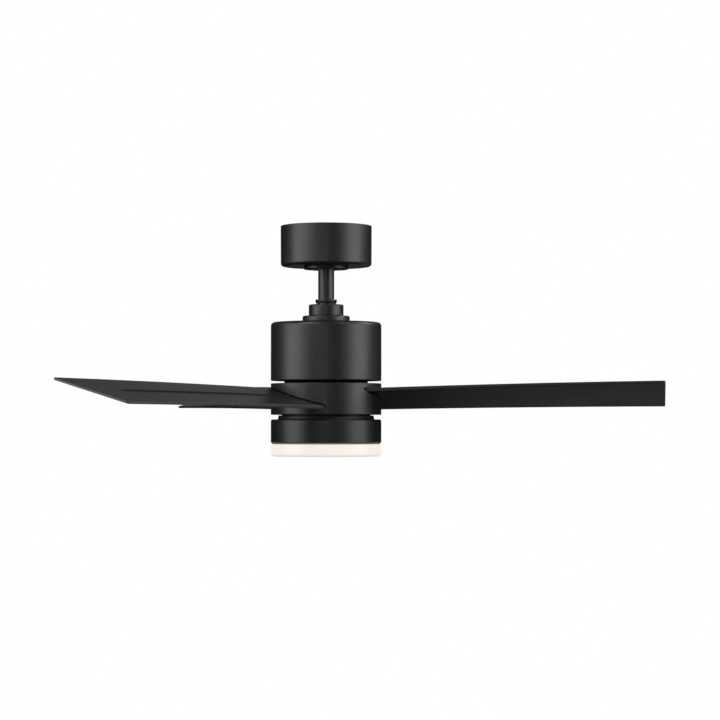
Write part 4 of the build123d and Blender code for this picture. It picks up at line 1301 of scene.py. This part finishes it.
@dataclass
class Hub:
    """The turning drum with its slanted slots."""

    bench: Bench
    law: BladeShape
    wall: float = 2.0 * MM
    rim_round: float = 0.7 * MM
    foot_round: float = 1.6 * MM
    floor_opening: float = 76.0 * MM
    slot_above: float = 1.8 * MM
    slot_below: float = 0.5 * MM
    slot_beside: float = 1.0 * MM
    relief: float = 4.8 * MM
    neck_gap: float = 0.6 * MM
    cutter_length: float = 90.0 * MM
    end_round: float = 0.49  # share of a cutter's height
    end_steps: int = 6
    broken_edge: float = 0.25 * MM

    def cutter(
        self, high: float, low: float, above: float, below: float, azimuth: float
    ) -> bmesh.types.BMesh:
        """Round-ended cutter along a blade's root plane.

        Args:
            high: reach from the span line past the raised edge.
            low: reach towards the lowered edge.
            above: its upper face over the plate's middle.
            below: its lower face under the plate's middle.
            azimuth: which way it points, in degrees.

        Returns:
            The cutter.
        """
        law = self.law
        surface = radius_of("hub_shell")
        size = Vector((self.cutter_length, high + low, above + below))
        mesh = block(size, Vector((surface, (low - high) / 2, (above - below) / 2)))
        long_edges = [e for e in mesh.edges if abs(e.verts[0].co.x - e.verts[1].co.x) > size.x / 2]
        round_off(mesh, long_edges, size.z * self.end_round, self.end_steps)
        for vert in mesh.verts:
            vert.co.z += law.height(surface) - vert.co.y * law.at(law.slope, surface)
        turn_to(mesh, azimuth)
        return mesh

    def slot_cutters(self, azimuth: float) -> list[bmesh.types.BMesh]:
        """The blade's slot, and the round relief past its raised end."""
        law = self.law
        surface = radius_of("hub_shell")
        high, low = law.at(law.high_width, surface), law.at(law.low_width, surface)
        half, side = law.thickness[0] / 2, self.slot_beside
        above, below = half + self.slot_above, half + self.slot_below
        main = self.cutter(high + side, low + side, above, below, azimuth)
        reach = self.relief
        relief = self.cutter(high + reach, -high + reach, reach / 2, reach / 2, azimuth)
        return [main, relief]

    def build(self) -> None:
        """Turns the drum and cuts its slots."""
        low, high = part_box("hub_shell")
        radius = radius_of("hub_shell")
        inner = radius - self.wall
        throat = radius_of("rotor_base") + self.neck_gap
        outline = [
            Corner(self.floor_opening, low.z, *EASED_EDGE),
            Corner(radius, low.z, self.foot_round, 6),
            Corner(radius, high.z, self.rim_round, 4),
            Corner(throat, high.z, *EASED_EDGE),
            Corner(throat, high.z - self.wall, *FINE_EDGE),
            Corner(inner, high.z - self.wall, 0.8 * MM, 3),
            Corner(inner, low.z + self.wall, 0.8 * MM, 3),
            Corner(self.floor_opening, low.z + self.wall, *EASED_EDGE),
        ]
        piece = link("hub_drum", spun(outline, FINE_STEPS))
        for azimuth in self.law.azimuths:
            for cutter in self.slot_cutters(azimuth):
                cut(piece, cutter)
        self.bench.done(piece, Body.ROTOR, "black_aluminium", "hub_shell", edge=self.broken_edge)


@dataclass
class Light:
    """Pan, housing and opal lens."""

    bench: Bench
    wall: float = 1.5 * MM
    pan_step: float = 1.6 * MM
    pan_hole: float = 71.0 * MM
    lip_radius: float = 73.5 * MM
    housing_throat: float = 70.0 * MM
    ledge_inner: float = 84.0 * MM
    spigot_outer: float = 88.2 * MM
    spigot_inner: float = 86.5 * MM
    lens_wall: float = 2.2 * MM
    lens_round: float = 5.5 * MM
    foot_round: float = 1.4 * MM
    top_round: float = 2.4 * MM
    ledge_height: float = 2.0 * MM
    shadow_gap: float = 1.75 * MM

    def pan(self) -> None:
        """Conical pan whose skirt is the neck above the housing."""
        low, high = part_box("light_kit_pan")
        radius = radius_of("light_kit_pan")
        top = radius - self.pan_step
        bore = radius_of("motor_shaft") + SNUG
        hub_low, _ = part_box("hub_shell")
        floor = hub_low.z - MM
        outline = [
            Corner(bore, floor),
            Corner(self.lip_radius - self.wall, floor, *EASED_EDGE),
            Corner(self.lip_radius - self.wall, high.z, *FINE_EDGE),
            Corner(self.lip_radius, high.z, *FINE_EDGE),
            Corner(self.lip_radius, floor, *EASED_EDGE),
            Corner(top, floor, 0.6 * MM, 4),
            Corner(radius - 0.3 * MM, low.z + 0.9 * MM, 0.6 * MM, 4),
            Corner(radius, low.z),
            Corner(self.pan_hole, low.z),
            Corner(self.pan_hole, low.z + self.wall),
            Corner(radius - self.wall, low.z + self.wall),
            Corner(top - self.wall, floor - self.wall),
            Corner(bore, floor - self.wall),
        ]
        piece = link("light_pan", spun(outline, FINE_STEPS))
        self.bench.done(piece, Body.HANGING, "black_aluminium", "light_kit_pan")

    def housing(self) -> None:
        """Drum over the light, with the ledge for the heat sink."""
        low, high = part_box("light_housing")
        _, sink_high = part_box("heat_sink")
        radius = radius_of("light_housing")
        inner = radius - self.wall
        ledge = sink_high.z + SNUG
        outline = [
            Corner(inner, low.z, *FINE_EDGE),
            Corner(radius, low.z, self.foot_round, 5),
            Corner(radius, high.z, self.top_round, 8),
            Corner(self.housing_throat, high.z, *EASED_EDGE),
            Corner(self.housing_throat, high.z - self.wall, *EASED_EDGE),
            Corner(inner, high.z - self.wall, 0.8 * MM, 3),
            Corner(inner, ledge + self.ledge_height, *CRISP_EDGE),
            Corner(self.ledge_inner, ledge + self.ledge_height, *FINE_EDGE),
            Corner(self.ledge_inner, ledge, *FINE_EDGE),
            Corner(inner, ledge, *CRISP_EDGE),
        ]
        piece = link("light_drum", spun(outline, FINE_STEPS))
        self.bench.done(piece, Body.HANGING, "black_aluminium", "light_housing")

    def lens(self) -> None:
        """Opal cup with its spigot."""
        low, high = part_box("lens")
        _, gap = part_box("lens_gasket")
        rim = gap.z - self.shadow_gap
        radius = radius_of("lens")
        outline = [
            Corner(0.0, low.z),
            Corner(radius, low.z, self.lens_round, 12),
            Corner(radius, rim, 0.6 * MM, 4),
            Corner(self.spigot_outer, rim, *CRISP_EDGE),
            Corner(self.spigot_outer, high.z, *FINE_EDGE),
            Corner(self.spigot_inner, high.z, *FINE_EDGE),
            Corner(self.spigot_inner, low.z + self.lens_wall, 4.0 * MM, 6),
            Corner(0.0, low.z + self.lens_wall),
        ]
        piece = link("lens_opal", spun(outline, FINE_STEPS))
        self.bench.done(piece, Body.LENS, "opal_lens", "lens")

    def build(self) -> None:
        """Makes the pan, housing and lens."""
        self.pan()
        self.housing()
        self.lens()


# ---------------------------------------------------------------- studio
@dataclass
class Softbox:
    """A rectangular studio light aimed at the fan."""

    name: str
    azimuth: float  # degrees from the camera's side, positive to the right
    elevation: float  # degrees
    distance: float  # metres from the point aimed at
    width: float
    height: float
    power: float
    aim: Vector = field(default_factory=lambda: Vector((0, 0, -0.22)))

    def build(self) -> None:
        """Hangs the light."""
        data = bpy.data.lights.new(self.name, "AREA")
        data.shape = "RECTANGLE"
        data.size = self.width
        data.size_y = self.height
        data.energy = self.power
        light = bpy.data.objects.new(self.name, data)
        bpy.context.scene.collection.objects.link(light)
        turn, lift = math.radians(self.azimuth), math.radians(self.elevation)
        level = math.cos(lift)
        away = Vector((math.sin(turn) * level, -math.cos(turn) * level, math.sin(lift)))
        light.location = self.aim + away * self.distance
        light.rotation_euler = (-away).to_track_quat("-Z", "Y").to_euler()
        light.visible_camera = False


@dataclass
class Studio:
    """Camera, softboxes, white surroundings and a pale floor far below."""

    lens: float = 115.34  # focal length in millimetres
    sensor: float = 36.0  # width in millimetres
    view_depth: float = 100.0
    camera_side: float = 0.63 * MM
    camera_back: float = 3832.2 * MM
    camera_height: float = -326.5 * MM
    camera_turn: float = 0.832  # degrees to the right
    camera_rise: float = 1.551
    camera_roll: float = 0.018
    ambient: float = 0.008
    floor_height: float = -3.6
    floor_radius: float = 45.0
    # Painted shade on the floor: grey under the fan, gone further out.
    floor_shade_fade: tuple = (0.5, 9.0)  # from the axis, where its tint begins to fade and is gone

    def camera(self) -> None:
        """Long lens a little below the blades."""
        data = bpy.data.cameras.new("camera")
        data.lens = self.lens
        data.sensor_width = self.sensor
        data.clip_end = self.view_depth
        camera = bpy.data.objects.new("camera", data)
        bpy.context.scene.collection.objects.link(camera)
        camera.location = (self.camera_side, -self.camera_back, self.camera_height)
        turn = Matrix.Rotation(-math.radians(self.camera_turn), 4, "Z")
        rise = Matrix.Rotation(math.radians(90 + self.camera_rise), 4, "X")
        roll = Matrix.Rotation(math.radians(self.camera_roll), 4, "Z")
        camera.rotation_euler = (turn @ rise @ roll).to_euler()
        bpy.context.scene.camera = camera

    def surroundings(self) -> None:
        """White to the camera, dim to the fan, so that only the softboxes light it."""
        world = bpy.data.worlds.new("studio_white")
        world.use_nodes = True
        bpy.context.scene.world = world
        nodes, links = world.node_tree.nodes, world.node_tree.links
        nodes.clear()
        dim = nodes.new("ShaderNodeBackground")
        dim.inputs["Color"].default_value = rgb(1, 1, 1)
        dim.inputs["Strength"].default_value = self.ambient
        white = nodes.new("ShaderNodeBackground")
        white.inputs["Color"].default_value = rgb(1, 1, 1)
        seen = nodes.new("ShaderNodeLightPath")
        choose = nodes.new("ShaderNodeMixShader")
        output = nodes.new("ShaderNodeOutputWorld")
        links.new(seen.outputs["Is Camera Ray"], choose.inputs[0])
        links.new(dim.outputs[0], choose.inputs[1])
        links.new(white.outputs[0], choose.inputs[2])
        links.new(choose.outputs[0], output.inputs["Surface"])

    def floor(self) -> None:
        """Pale glowing floor, painted grey under the fan as painted shade, fading into the white
        surroundings.
        """
        mesh = bmesh.new()
        centre = Matrix.Translation((0, 0, self.floor_height))
        bmesh.ops.create_circle(
            mesh, cap_ends=True, segments=96, radius=self.floor_radius, matrix=centre
        )
        floor = link("pale_floor", mesh)
        shader = Shader("pale_floor")
        # Painted shade: grey under the fan, fading to white away from the axis.
        far = shader.radius().ramp(*self.floor_shade_fade)
        floor_shade_tone = shader.mix(far, rgb(0.86, 0.86, 0.87), rgb(1.0, 1.0, 1.0))
        glow = shader.node("ShaderNodeEmission", None, {"Color": floor_shade_tone, "Strength": 1.0})
        output = shader.node("ShaderNodeOutputMaterial")
        shader.tree.links.new(glow.outputs[0], output.inputs["Surface"])
        floor.data.materials.append(shader.material)
        floor.visible_diffuse = False
        floor.visible_glossy = False
        floor.visible_shadow = False

    def build(self) -> None:
        """Sets up the whole studio."""
        bpy.context.scene.view_settings.view_transform = "Standard"
        self.camera()
        self.surroundings()
        self.floor()
        for box in (
            Softbox("softbox_front_left", -40, 32, 3.2, 0.8, 2.0, 46),
            Softbox("softbox_side_left", -100, 32, 3.2, 0.8, 2.0, 6),
            Softbox("softbox_low_left", -70, 4, 3.2, 2.4, 1.1, 37),
            Softbox("softbox_front_right", 40, 32, 3.2, 0.8, 2.0, 14),
            Softbox("softbox_side_right", 100, 32, 3.2, 0.8, 2.0, 44),
            Softbox("softbox_low_right", 70, 4, 3.2, 2.4, 1.1, 38),
            Softbox("softbox_back", 180, 10, 3.0, 1.8, 1.3, 4.6),
            Softbox("fill_low_back", 152, -25, 2.2, 1.5, 1.0, 1.1),
            Softbox("fill_front", -6, 3, 3.4, 1.4, 0.9, 6.0),
        ):
            box.build()


# ---------------------------------------------------------------- assembly
def blade_azimuths() -> list[float]:
    """Evenly spaced azimuths, one for each blade in the record.

    Returns:
        The azimuth of each blade's span line, in degrees.
    """
    nodes = [part["node"] for part in frame["record"]["subparts"]]
    count = sum(1 for node in nodes if node.startswith("blade_") and node[6:].isdigit())
    return [FIRST_AZIMUTH + 360 * index / count for index in range(count)]


def dress_remaining(finishes: Finishes) -> None:
    """Gives every CAD node that still shows its finish."""
    for name, node in frame["nodes"].items():
        if not node.hide_render:
            finishes.paint_cad(name)
            log.info("%s keeps its CAD shape", name)


def main() -> None:
    """Builds the studio, the sub-assemblies in order from the ceiling down, and the finishes."""
    logging.basicConfig(level=logging.INFO, format="%(name)s: %(message)s")
    Studio().build()
    finishes = Finishes()
    bench = Bench(finishes)
    law = BladeShape(blade_azimuths())
    for assembly in (
        Canopy(bench),
        Coupling(bench),
        MotorDrum(bench),
        Hub(bench, law),
        Blades(bench, law),
        Light(bench),
    ):
        assembly.build()
        log.info("%s built", type(assembly).__name__)
    dress_remaining(finishes)
    bpy.context.view_layer.update()


if __name__ == "__main__":
    main()
